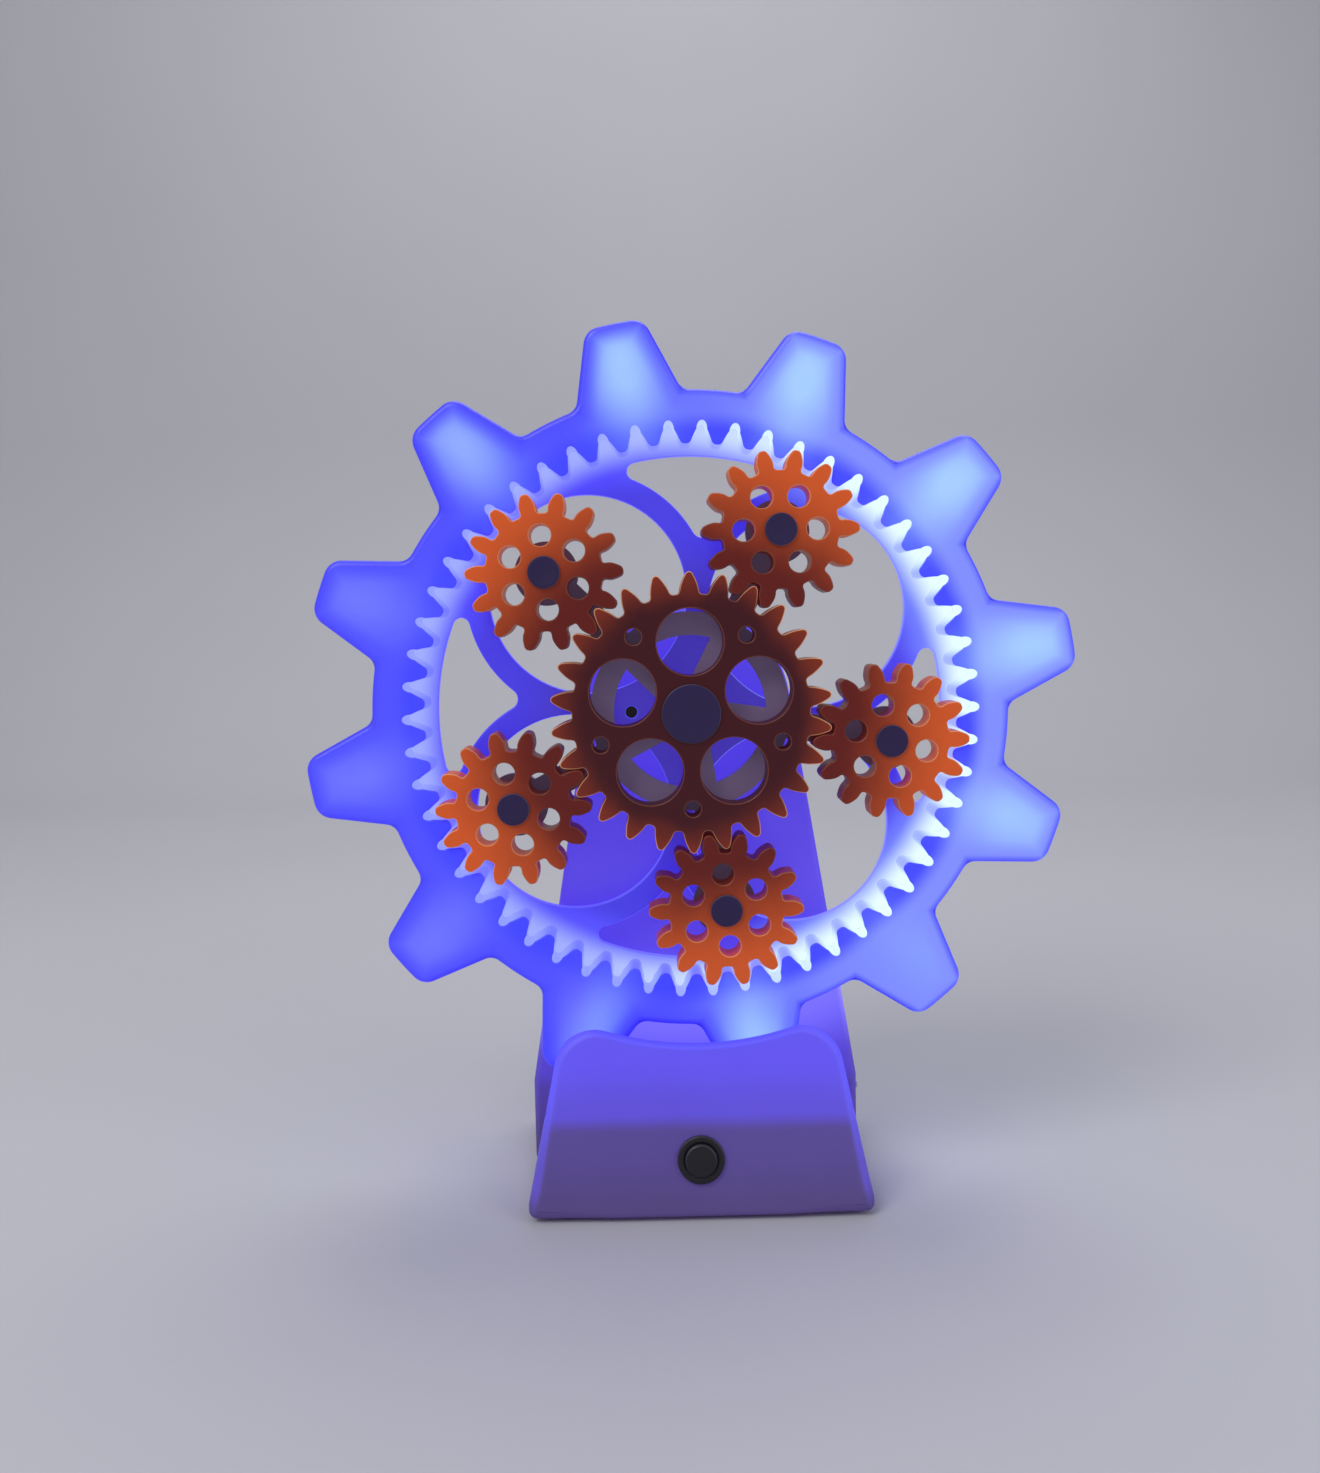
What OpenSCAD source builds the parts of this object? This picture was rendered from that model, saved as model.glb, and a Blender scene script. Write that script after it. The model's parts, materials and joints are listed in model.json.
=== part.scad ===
// Motorised planetary-gear night lamp: a glowing toothed ring on a tapered stand, with a sun
// gear, five planets and their carrier turning in front of a pinwheel plate.
// Millimetres, +Z up, front towards -Y. The origin is on the floor, under the middle of the lamp.

/* [Gear train] */
// Module of every gear
gear_module = 2.5; // [2.4:0.05:2.5]
// Thickness of the sun and planet gears
gear_t = 8; // [6:0.5:8]
// Amount that each tooth is thinned at the pitch circle, for backlash
thinning = 0.3; // [0.2:0.05:0.4]
// Clockwise turn of the ring and its plate on the stand, in degrees
ring_turn = 4.8; // [4.8:0.1:4.8]
// Radius to the centres of the big holes of the sun gear
sun_hole_ring = 17.7; // [17:0.1:18]
// Radius of the big holes of the sun gear
sun_hole_r = 8.3; // [7:0.1:8.5]
// Radius to the centres of the small holes of the sun gear
sun_pip_ring = 23.7; // [23:0.1:24.5]
// Radius of the small holes of the sun gear
sun_pip_r = 2; // [1.5:0.1:2.2]
// Radius to the centres of the six holes of a planet gear
planet_hole_ring = 9.1; // [8.8:0.1:9.4]
// Radius of the six holes of a planet gear
planet_hole_r = 2.7; // [2:0.1:2.8]

/* [Ring] */
// Number of lobes round the ring
lobes = 12; // [12:1:12]
// Radius to the tips of the lobes
lobe_tip_r = 96.5; // [95:0.5:97]
// Radius to the valleys between the lobes
lobe_valley_r = 79; // [78.5:0.1:79.5]
// Half width of a lobe where its flanks meet the tip circle
lobe_tip_half = 7.1; // [6.5:0.1:7.5]
// Angle between a lobe's flank and its middle line
lobe_flank = 18; // [15:1:20]
// Radius of the rounded corners of a lobe
lobe_corner_r = 4.5; // [3.5:0.1:5]
// Radius of the fillets between a lobe and its valley
lobe_fillet_r = 3.5; // [3:0.1:4.5]
// Depth of the ring from its front face to its back face
ring_depth = 16; // [15.5:0.1:16.5]
// Wall thickness of the ring
ring_wall = 2; // [1.6:0.1:2.2]
// Number of light chips on the strip
light_count = 36; // [24:12:36]

/* [Pinwheel plate] */
// Radius to the centres of the four round holes
plate_hole_ring = 39.2; // [38.5:0.1:40]
// Radius of the four round holes
plate_hole_r = 24.9; // [24:0.1:25]
// Width of the curved arms between a round hole and a window
arm_w = 6; // [5:0.1:6.5]
// Radius of the windows' outer edge
window_r = 64; // [63:0.1:64.5]
// Radius of the two outer corners of a window
window_corner_r = 2.2; // [1.5:0.1:3]
// Radius of the inner corner of a window
window_apex_r = 2.6; // [1.5:0.1:3]
// Thickness of the plate
plate_t = 2.4; // [2:0.1:2.6]

/* [Stand] */
// Height of the gear axis above the floor
axis_h = 122; // [122:1:130]
// Radius of the round head of the column
head_r = 26.5; // [26:0.1:27]
// Angle between the column's sides and the vertical
column_taper = 9.3; // [8.5:0.1:9.5]
// Depth of the column from front to back
column_depth = 34; // [32:1:40]
// Half width of the stand at the floor
base_half = 43; // [42.5:0.1:44]
// Height of the slot's floor above the floor
slot_h = 24.3; // [23:0.1:24.4]
// Radius of the hollow in the lip's top edge, about the gear axis
lip_arc_r = 80.4; // [79.5:0.1:81]
// Radius of the lip's two rounded shoulders
lip_ear_r = 10; // [9:0.5:11]
// Angle between the lip's sides and the vertical
lip_side = 11.6; // [11:0.1:12]
// Lean of the lip's front face, in degrees
lip_lean = 9.8; // [8:0.1:11]
// Distance of the lip's front face from the gears' front plane, at the lip's top
lip_reach = 10; // [9.5:0.1:11]
// Wall thickness of the stand
stand_wall = 2.4; // [2.2:0.1:2.6]
// Height of the rubber feet under the stand
foot_h = 1.2; // [1:0.1:1.5]

/* [Controls] */
// Radius of the push button's round housing on the lip
button_r = 5.75; // [5.5:0.05:6]
// Height of the push button above the floor
button_h = 14.8; // [14:0.1:15.5]
// Height of the slide switch in the right side above the floor
switch_h = 17.5; // [17:0.5:18]

/* [Hidden] */
$fn = 64;
gap = 0.05;
eps = 0.01;

sun_teeth = 26;
planet_teeth = 14;
planets = 5;
pressure = 24;
ring_teeth = sun_teeth + 2 * planet_teeth;
gear_reach = gear_module * (sun_teeth + planet_teeth) / 2;
sun_tip_r = gear_module * sun_teeth / 2 + 2.4;
sun_root_r = gear_module * sun_teeth / 2 - 3.0;
planet_tip_r = gear_module * planet_teeth / 2 + 1.9;
planet_root_r = gear_module * planet_teeth / 2 - 3.1;
ring_tip_r = gear_module * ring_teeth / 2 - 1.7;
ring_root_r = gear_module * ring_teeth / 2 + 4.0;

// Ring teeth are centred on the first lobe, and the carrier stands where all the teeth mesh
lobe_step = 360 / lobes;
ring_tooth_turn = ring_turn + lobe_step / 2;
carrier_turn = (ring_teeth * ring_tooth_turn + 360 * 3) / (sun_teeth + ring_teeth);
// Tooth of each planet, counted from the first, that points at the mesh when the lamp stands still
planet_start_tooth = [0, 2, 6, 0, 4];

// Depths along the gear axis, measured forward from the gears' front plane
carrier_front = -gear_t - 0.6;
carrier_t = 2;
plate_front = carrier_front - carrier_t - 0.6;
plate_back = plate_front - plate_t;
ring_front = -1.6;
ring_back = ring_front - ring_depth;
column_front = ring_back - 0.6;
column_back = column_front - column_depth;
pin_tip = 0.2;

// Sizes of the turning parts at the axis
shaft_r = 4;
motor_shaft_r = 1.5;
hub_bush_r = 5.5;
sun_cap_r = 7.3;
sun_recess_r = 6;
pin_r = 2.5;
planet_bush_r = 3.5;
planet_cap_r = 4;
carrier_hub_r = 9;
carrier_rim_r = [19.3, 25.2];
spoke_w = 7;
pin_boss_r = 8;

// Places of the fasteners and wires
plate_screw_ring = 10.5;
lead_hole = [-14.9, 0];
lead_hole_r = 1.5;
high_screws = [[0, 17], [-27, -52], [27, -52]];
low_screws = [[-36.4, -110.5], [36.4, -110.5]];
base_screws = [[-33, -3], [33, -3], [-36.4, -38], [36.4, -38]];
foot_places = [[-33, 8], [33, 8], [-33, -45], [33, -45]];
foot_r = 5;
post_r = 4.4;
pilot_r = 1.1;
screw_r = 1.2;
head_screw_r = 2.3;

// Parts inside the stand
motor_size = [12, 10];
gearbox_len = 9;
motor_len = 15;
motor_front = column_front - stand_wall - 0.4;
board_size = [46, 32, 1.6];
board_h = 8;
board_front = -10;
usb_size = [8.9, 7.5, 3.2];

floor_y = foot_h - axis_h;
slot_y = slot_h - axis_h;
lip_bottom_reach = lip_reach - (lip_arc_r + floor_y) * tan(lip_lean);
button_bezel_t = 1.2;
button_cap_r = 3.9;
button_proud = 1;
nut_r = 6.4;
switch_travel = 3;
// The lamp's depth runs from the button's front to the column's back, and its middle is the origin
button_reach = lip_reach + (axis_h - lip_arc_r - button_h) * tan(lip_lean);
front_most = button_reach + (button_bezel_t + button_proud) * cos(lip_lean) + button_cap_r * sin(lip_lean);
axis_y = (front_most + column_back) / 2;

// Places that several pieces share
light_r = ring_root_r + 2.5;
light_z = -9.5;
plate_r = light_r - 1.5;
lead_r = 0.9;
lead_z = plate_back - 1.1;
lead_wall_r = 1.4;
lead_sweep = 126;
motor_back = motor_front - gearbox_len - motor_len;
bracket_front = motor_front - 3;
bracket_screw_x = 10.5;
board_screw_places = [[-20, -13], [20, -13], [-20, -39], [20, -39]];
wire_r = 0.6;
wire_h = 16;
wire_z = motor_back - 2.2;
wire_end = -33;
usb_y = board_h + board_size[2] + usb_size[2] / 2 - axis_h;
sun_recess_z = -2.5;
button_body_r = 5;
switch_z = -24;

// A point at a radius and a clock angle, seen from the front
function at(r, a) = [r * sin(a), r * cos(a)];

// Points of an arc about a centre, by ordinary angles
function arc(c, r, a, b, n) = [for (i = [0:n]) c + r * [cos(a + (b - a) * i / n), sin(a + (b - a) * i / n)]];

function mirrored(points) = [for (i = [len(points) - 1:-1:0]) [-points[i][0], points[i][1]]];

function turned(p, a) = [p[0] * cos(a) + p[1] * sin(a), p[1] * cos(a) - p[0] * sin(a)];

// Involute angle in degrees at a radius
function involute(base_r, r) = let (a = acos(min(1, base_r / r))) tan(a) * 180 / PI - a;

// Half angle of an external tooth, or of a ring's tooth gap, at a radius
function half_tooth(teeth, r, change) =
    let (pitch_r = gear_module * teeth / 2, base_r = pitch_r * cos(pressure))
    90 / teeth + (change / 2) / pitch_r * 180 / PI + involute(base_r, pitch_r) - involute(base_r, r);

// Radii and half angles down one side of an external tooth, with a round tip and a root fillet
function tooth_side(teeth, root_r, tip_r) =
    let (tip_round = 0.6, root_round = 0.8)
    concat(
        [for (i = [0:3]) let (u = cos(i * 30), r = tip_r - tip_round + tip_round * u)
            [r, half_tooth(teeth, r, -thinning) - (1 - sqrt(1 - u * u * 0.96)) * tip_round / r * 180 / PI]],
        [for (i = [1:3]) let (r = tip_r - tip_round - (tip_r - tip_round - root_r - root_round) * i / 3)
            [r, half_tooth(teeth, r, -thinning)]],
        [for (i = [1:2]) let (v = sin(i * 45), r = root_r + root_round * (1 - v))
            [r, half_tooth(teeth, r, -thinning) + (1 - sqrt(1 - v * v)) * root_round / r * 180 / PI]]);

// Outline of an external gear whose first tooth points up
function gear_points(teeth, root_r, tip_r) =
    let (side = tooth_side(teeth, root_r, tip_r), n = len(side))
    [for (k = [0:teeth - 1]) each concat(
        [for (i = [n - 1:-1:0]) at(side[i][0], k * 360 / teeth - side[i][1])],
        [for (i = [0:n - 1]) at(side[i][0], k * 360 / teeth + side[i][1])])];

// Radii and half angles down one side of the ring's tooth gap, round at its outer end
function gap_side() =
    let (flank_end = ring_root_r - 2.1, tip_round = 0.8)
    concat(
        [for (i = [0:3]) let (u = cos(i * 30), r = flank_end + 2.1 * u)
            [r, half_tooth(ring_teeth, flank_end, thinning) * sqrt(1 - u * u * 0.98)]],
        [for (i = [1:2]) let (r = flank_end - (flank_end - ring_tip_r - tip_round) * i / 2)
            [r, half_tooth(ring_teeth, r, thinning)]],
        [for (i = [1:3]) let (v = sin(i * 30), r = ring_tip_r + tip_round * (1 - v))
            [r, half_tooth(ring_teeth, r, thinning) + (1 - sqrt(1 - v * v)) * tip_round / r * 180 / PI]]);

// Outline of the toothed bore of the ring
function bore_points() =
    let (side = gap_side(), n = len(side), first = ring_tooth_turn + 180 / ring_teeth)
    [for (k = [0:ring_teeth - 1]) each concat(
        [for (i = [n - 1:-1:0]) at(side[i][0], first + k * 360 / ring_teeth - side[i][1])],
        [for (i = [0:n - 1]) at(side[i][0], first + k * 360 / ring_teeth + side[i][1])])];

// Right half of a lobe that points up, from its tip to the middle of the valley, moved inwards by in
function lobe_half(in) =
    let (c = cos(lobe_flank), s = sin(lobe_flank),
         flank = c * lobe_tip_half + s * lobe_tip_r - in,
         corner = lobe_corner_r - in * 0.6, tip_r = lobe_tip_r - in,
         fillet = lobe_fillet_r + in * 0.6, valley_r = lobe_valley_r - in,
         t = sqrt(pow(tip_r - corner, 2) - pow(flank - corner, 2)),
         w = sqrt(pow(valley_r + fillet, 2) - pow(flank + fillet, 2)),
         corner_c = [(flank - corner) * c - t * s, (flank - corner) * s + t * c],
         fillet_c = [(flank + fillet) * c - w * s, (flank + fillet) * s + w * c],
         tip_a = atan2(corner_c[0], corner_c[1]), valley_a = atan2(fillet_c[0], fillet_c[1]))
    concat([at(tip_r, tip_a / 3)],
           arc(corner_c, corner, 90 - tip_a, lobe_flank, 4),
           arc(fillet_c, fillet, 180 + lobe_flank, 270 - valley_a, 4),
           [at(valley_r, (valley_a + lobe_step / 2) / 2)]);

// One of the plate's windows, which points up: a triangle of arcs with rounded corners
function window_points() =
    let (reach = plate_hole_r + arm_w, across = plate_hole_ring * sin(45), c = [across, across],
         corner_r = window_r - window_corner_r,
         beta = acos((corner_r * corner_r + plate_hole_ring * plate_hole_ring
                      - pow(reach + window_corner_r, 2)) / (2 * corner_r * plate_hole_ring)),
         corner_c = at(corner_r, 45 - beta),
         apex_c = [0, across + sqrt(pow(reach + window_apex_r, 2) - across * across)],
         corner_a = atan2(corner_c[1] - c[1], corner_c[0] - c[0]),
         apex_a = atan2(apex_c[1] - c[1], apex_c[0] - c[0]),
         half = concat(
             [for (i = [1:4]) at(window_r, (45 - beta) * i / 4)],
             arc(corner_c, window_corner_r, 45 + beta, corner_a - 180, 5),
             arc(c, reach, corner_a, apex_a, 8),
             arc(apex_c, window_apex_r, apex_a - 180, -90, 3)))
    concat([at(window_r, 0)], half, [for (i = [len(half) - 2:-1:0]) [-half[i][0], half[i][1]]]);

// Outline of the whole ring, moved inwards by in
function ring_points(in) =
    let (half = lobe_half(in), lobe = concat(mirrored(half), half))
    [for (k = [0:lobes - 1]) each [for (p = lobe) turned(p, ring_tooth_turn + k * lobe_step)]];

// Half width of the column at a height relative to the gear axis, moved inwards by in
function column_half(y, in) = min(base_half - in, (head_r - in - y * sin(column_taper)) / cos(column_taper));

// Outline of the column: a round head, tapered sides and an upright foot
function column_points(in, bottom) =
    let (bend_y = (head_r - base_half * cos(column_taper)) / sin(column_taper))
    concat([[column_half(bottom, in), bottom], [column_half(bend_y, in), bend_y]],
           arc([0, 0], head_r - in, column_taper, 180 - column_taper, 32),
           [[-column_half(bend_y, in), bend_y], [-column_half(bottom, in), bottom]]);

// Outline of the lip: a hollow concentric with the ring, two round shoulders and leaning sides
function lip_points(in, bottom) =
    let (ear_a = 16.4, ear_c = (lip_arc_r + lip_ear_r) * [sin(ear_a), -cos(ear_a)],
         r = lip_ear_r - in, side_x = ear_c[0] + r * cos(lip_side),
         side_y = ear_c[1] + r * sin(lip_side),
         foot_x = side_x + (side_y - bottom) * tan(lip_side),
         right = concat([[foot_x, bottom]], arc(ear_c, r, lip_side, 90 + ear_a, 8)))
    concat(right, arc([0, 0], lip_arc_r + in, 270 + ear_a, 270 - ear_a, 16), mirrored(right));

// Draws its children as seen from the front, with their z running forward from the gears' face
module on_axis()
{
    translate([0, axis_y, axis_h]) rotate([90, 0, 0]) children();
}

// Draws its children on the lip's front face at the button, with their z running outwards
module on_lip()
{
    translate([0, button_h - axis_h, button_reach]) rotate([-lip_lean, 0, 0]) children();
}

// Extrudes a flat shape between two depths
module between(front, back)
{
    translate([0, 0, back]) linear_extrude(front - back) children();
}

module rod(r, front, back)
{
    translate([0, 0, back]) cylinder(r = r, h = front - back);
}

module tube(outer_r, inner_r, front, back)
{
    difference() {
        rod(outer_r, front, back);
        rod(inner_r, front + 1, back - 1);
    }
}

// A block by its middle, size and depths, with x and y across the lamp
module block(middle, size, front, back)
{
    translate([middle[0], middle[1], 0]) between(front, back) square(size, center = true);
}

// A rod that stands on the floor plane at x and z, between two heights above the floor
module upright(place, r, low, high)
{
    translate([place[0], low - axis_h, place[1]]) rotate([-90, 0, 0]) cylinder(r = r, h = high - low);
}

// A countersunk or pan screw along z: a head in front of a shank
module screw(head_front, head_t, length)
{
    rod(head_screw_r, head_front, head_front - head_t);
    rod(pilot_r, head_front - head_t + eps, head_front - length);
}

// Everything in front of the leaning front face, or behind it where the thickness is negative
module lean_side(in, thickness)
{
    translate([0, -lip_arc_r, lip_reach]) rotate([-lip_lean, 0, 0])
        translate([-80, -80, min(0, thickness) - in]) cube([160, 160, abs(thickness)]);
}

// The base and the lip up to a height, moved inwards by in
module base_solid(in, bottom, top)
{
    difference() {
        between(lip_bottom_reach + 1, column_front - stand_wall - 1)
            intersection() {
                polygon(lip_points(in, bottom));
                translate([-60, bottom - 1]) square([120, top - bottom + 1]);
            }
        lean_side(in, 60);
    }
}

module stand_outside()
{
    between(column_front, column_back) polygon(column_points(0, floor_y));
    base_solid(0, floor_y, slot_y);
    difference() {
        base_solid(0, floor_y, 0);
        lean_side(stand_wall, -60);
    }
}

module stand_inside()
{
    between(column_front - stand_wall, column_back - 1) polygon(column_points(stand_wall, floor_y - 1));
    base_solid(stand_wall, floor_y - 1, slot_y - stand_wall);
}

module stand_posts()
{
    cover_inside = column_back + stand_wall + 0.1;
    for (p = high_screws) translate(p) rod(post_r, column_front - 1, cover_inside);
    for (p = low_screws) translate(p) rod(post_r, cover_inside + 14, cover_inside);
    for (p = base_screws) upright(p, post_r, foot_h + stand_wall + 0.1, slot_h - stand_wall + 1);
    for (side = [-1, 1])
        translate([side * bracket_screw_x, 0]) rod(2.6, column_front - 1, bracket_front);
}

module stand_holes()
{
    for (p = concat(high_screws, low_screws)) translate(p) rod(pilot_r, column_back + 12, column_back - 1);
    for (p = base_screws) upright(p, pilot_r, foot_h, foot_h + 12);
    for (side = [-1, 1])
        translate([side * bracket_screw_x, 0]) rod(0.8, bracket_front + 5, bracket_front - 1);
    // Shaft, plate screws and light lead pass through the column's front wall
    rod(hub_bush_r, column_front + 1, column_front - stand_wall - 1);
    for (k = [0:3])
        translate(at(plate_screw_ring, ring_turn + 45 + 90 * k))
            rod(pilot_r, column_front + 1, column_front - stand_wall - 1);
    translate(lead_hole) rod(lead_wall_r, column_front + 1, column_front - stand_wall - 1);
    on_lip() rod(button_body_r, 5, -6);
    // Slot of the slide switch in the right side
    translate([base_half - stand_wall - 1, switch_h - switch_travel / 2 - 1.2 - axis_h, switch_z - 1])
        cube([stand_wall + 2, switch_travel + 2.4, 2]);
}

module stand_shell()
{
    color("whitesmoke") on_axis() difference() {
        union() {
            difference() {
                stand_outside();
                stand_inside();
            }
            stand_posts();
        }
        stand_holes();
    }
}

module base_plate()
{
    half = base_half - stand_wall - 1.6;
    front = lip_bottom_reach - stand_wall - 1;
    color("whitesmoke") on_axis() difference() {
        translate([-half, floor_y, column_back])
            cube([2 * half, stand_wall, front - column_back]);
        for (p = base_screws) {
            upright(p, screw_r, 0, foot_h + stand_wall + 1);
            upright(p, head_screw_r + 0.1, 0, foot_h + 1.2);
        }
        for (p = foot_places) upright(p, foot_r, 0, foot_h + 0.8);
    }
}

module back_cover()
{
    low = floor_y + stand_wall + 0.2;
    color("whitesmoke") on_axis() difference() {
        between(column_back + stand_wall, column_back) polygon(column_points(stand_wall + 0.15, low));
        for (p = concat(high_screws, low_screws)) translate(p) {
            rod(screw_r, 0, column_back - 1);
            rod(head_screw_r + 0.1, column_back + 1.2, column_back - 1);
        }
        block([0, usb_y], [usb_size[0] + 0.4, usb_size[2] + 0.4], 0, column_back - 1);
    }
}

module rubber_feet()
{
    color("dimgray") on_axis() for (p = foot_places) upright(p, foot_r, 0, foot_h + 0.8);
}

module base_screws()
{
    color("silver") on_axis() for (p = base_screws) {
        upright(p, head_screw_r, foot_h, foot_h + 1.2);
        upright(p, pilot_r, foot_h + 1.2 - eps, foot_h + 9);
    }
}

module cover_screws()
{
    color("silver") on_axis() for (p = concat(high_screws, low_screws)) translate(p) {
        rod(head_screw_r, column_back + 1.2, column_back);
        rod(pilot_r, column_back + 10, column_back + 1.2 - eps);
    }
}

// The way of the light lead: from its hole, along a plate arm, into the ring
module lead_path(r)
{
    hole_c = at(plate_hole_ring, ring_turn - 45);
    lead_r = plate_hole_r + arm_w / 2;
    start_a = atan2(lead_hole[1] - hole_c[1], lead_hole[0] - hole_c[0]);
    end_p = hole_c + lead_r * [cos(start_a - lead_sweep), sin(start_a - lead_sweep)];
    start_p = hole_c + lead_r * [cos(start_a), sin(start_a)];
    translate([hole_c[0], hole_c[1], lead_z]) rotate([0, 0, start_a - lead_sweep])
        rotate_extrude(angle = lead_sweep) translate([lead_r, 0]) circle(r = r, $fn = 24);
    lay(end_p, at(light_r + 0.8, atan2(end_p[0], end_p[1])), r);
    lay(lead_hole, start_p, r);
}

// A straight rod across the lamp at the lead's depth
module lay(p, q, r)
{
    translate([p[0], p[1], lead_z]) rotate([0, 0, atan2(q[1] - p[1], q[0] - p[0])])
        rotate([0, 90, 0]) cylinder(r = r, h = norm(q - p), $fn = 24);
}

module ring_shell()
{
    color("aliceblue") on_axis() difference() {
        between(ring_front, ring_back + ring_wall) polygon(ring_points(0));
        between(ring_front - ring_wall, ring_back) difference() {
            polygon(ring_points(ring_wall));
            circle(r = light_r);
        }
        between(ring_front + 1, plate_front - eps) polygon(bore_points());
        rod(plate_r + 0.1, plate_front, ring_back);
        lead_path(lead_r + 0.4);
    }
}

module ring_back()
{
    color("aliceblue") on_axis() difference() {
        union() {
            between(ring_back + ring_wall, ring_back) polygon(ring_points(0));
            rod(plate_r, plate_back, ring_back);
        }
        rod(plate_r - 2.5, plate_back + 1, ring_back - 1);
        lead_path(lead_r + 0.4);
    }
}

module pinwheel_plate()
{
    color("lightskyblue") on_axis() difference() {
        rod(plate_r, plate_front, plate_back);
        for (k = [0:3])
            translate(at(plate_hole_ring, ring_turn + 45 + 90 * k))
                rod(plate_hole_r, 0, plate_back - 1);
        for (k = [0:3])
            rotate([0, 0, -ring_turn - 90 * k]) between(0, plate_back - 1) polygon(window_points());
        rod(hub_bush_r, 0, plate_back - 1);
        translate(lead_hole) rod(lead_hole_r, 0, plate_back - 1);
        for (k = [0:3])
            translate(at(plate_screw_ring, ring_turn + 45 + 90 * k)) {
                rod(screw_r, 0, plate_back - 1);
                rod(head_screw_r + 0.05, 0, plate_front - 1.3);
            }
    }
}

module plate_screws()
{
    color("silver") on_axis() for (k = [0:3])
        translate(at(plate_screw_ring, ring_turn + 45 + 90 * k)) screw(plate_front, 1.3, 11);
}

module hub_spacer()
{
    color("whitesmoke") on_axis() difference() {
        rod(13, plate_back, column_front);
        rod(hub_bush_r, 0, column_front - 1);
        for (k = [0:3])
            translate(at(plate_screw_ring, ring_turn + 45 + 90 * k)) rod(screw_r, 0, column_front - 1);
    }
}

module hub_bush()
{
    color("goldenrod") on_axis() tube(hub_bush_r, shaft_r + gap, plate_front, column_front - stand_wall);
}

module light_strip()
{
    color("white") on_axis() tube(light_r + 0.5, light_r, light_z + 4, light_z - 4);
}

module light_chips()
{
    color("lightyellow") on_axis() for (k = [0:light_count - 1])
        rotate([0, 0, -ring_tooth_turn - k * 360 / light_count])
            translate([-2.5, light_r + 0.5, light_z - 2.5]) cube([5, 1.6, 5]);
}

module light_lead()
{
    color("white") on_axis() {
        lead_path(lead_r);
        translate(lead_hole) rod(lead_r, lead_z, column_front - stand_wall - 6);
    }
}

module lead_grommet()
{
    color("black") on_axis() translate(lead_hole) rod(lead_hole_r, plate_front + 0.1, plate_back);
}

module gearbox()
{
    color("silver") on_axis() difference() {
        union() {
            block([0, 0], motor_size, motor_front, motor_front - gearbox_len);
            rod(2, motor_front + 0.3, motor_front - 1);
        }
        rod(motor_shaft_r + gap, motor_front + 1, motor_front - 3);
    }
}

module motor_can()
{
    color("gray") on_axis() between(motor_front - gearbox_len, motor_back) intersection() {
        circle(r = motor_size[0] / 2);
        square([motor_size[0], motor_size[1]], center = true);
    }
}

module motor_cap()
{
    color("black") on_axis() {
        rod(4.2, motor_back, motor_back - 0.9);
        for (side = [-1, 1]) block([side * 3, 0], [1, 1.6], motor_back - 0.8, motor_back - 1.6);
    }
}

module motor_bracket()
{
    ear = 2 * bracket_screw_x + 5;
    color("dimgray") on_axis() difference() {
        union() {
            block([0, 0], [motor_size[0] + 3, motor_size[1] + 3], bracket_front, bracket_front - 4);
            block([0, 0], [ear, 5], bracket_front, bracket_front - 1.5);
        }
        block([0, 0], motor_size + [0.02, 0.02], 0, bracket_front - 5);
        for (side = [-1, 1]) translate([side * bracket_screw_x, 0]) rod(0.9, 0, bracket_front - 5);
    }
}

module motor_screws()
{
    color("silver") on_axis() for (side = [-1, 1]) translate([side * bracket_screw_x, 0]) {
        rod(1.8, bracket_front - 1.5, bracket_front - 2.7);
        rod(0.8, bracket_front + 4, bracket_front - 1.5 - eps);
    }
}

module control_board()
{
    color("darkgreen") on_axis() difference() {
        translate([-board_size[0] / 2, board_h - axis_h, board_front - board_size[1]])
            cube([board_size[0], board_size[2], board_size[1]]);
        for (p = board_screw_places) upright(p, 1.1, 0, axis_h);
    }
}

module board_chips()
{
    top = board_h + board_size[2] - axis_h;
    color("black") on_axis() {
        translate([-6, top, -26]) cube([7, 1.2, 7]);
        translate([6, top, -24]) cube([5, 1.5, 4]);
        translate([-16, top, -36]) cube([6, 5, 8]);
        translate([10, top, -37]) cube([6, 5, 8]);
    }
}

module board_screws()
{
    color("silver") on_axis() for (p = board_screw_places) {
        upright(p, 2, board_h + board_size[2], board_h + board_size[2] + 1);
        upright(p, 1, board_h, board_h + board_size[2] + eps);
        upright(p, 2.4, foot_h + stand_wall, board_h);
    }
}

module usb_inlet()
{
    color("silver") on_axis() difference() {
        block([0, usb_y], [usb_size[0], usb_size[2]], column_back + usb_size[1] + 3, column_back);
        difference() {
            block([0, usb_y], [usb_size[0] - 0.8, usb_size[2] - 0.8], column_back + 6.5, column_back - 1);
            block([0, usb_y], [6.7, 0.7], column_back + 7, column_back + 0.7);
        }
    }
}

module harness()
{
    color("firebrick") on_axis() for (side = [-1, 1]) {
        translate([side * 3, 0]) rod(wire_r, motor_back - 1.6, wire_z);
        upright([side * 3, wire_z], wire_r, wire_h, axis_h);
        translate([side * 3, wire_h - axis_h]) rod(wire_r, wire_end, wire_z);
        upright([side * 3, wire_end], wire_r, board_h + board_size[2], wire_h);
    }
}

module button_housing()
{
    color("black") on_axis() on_lip() difference() {
        union() {
            rod(button_r, button_bezel_t, 0);
            rod(button_body_r - 0.05, eps, -13);
        }
        rod(button_cap_r + 0.05, button_bezel_t + 1, -5);
    }
}

module button_nut()
{
    color("black") on_axis() on_lip() difference() {
        translate([0, 0, -stand_wall - 2.2]) cylinder(r = nut_r, h = 2, $fn = 6);
        rod(button_body_r - 0.05, 1, -8);
    }
}

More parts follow.
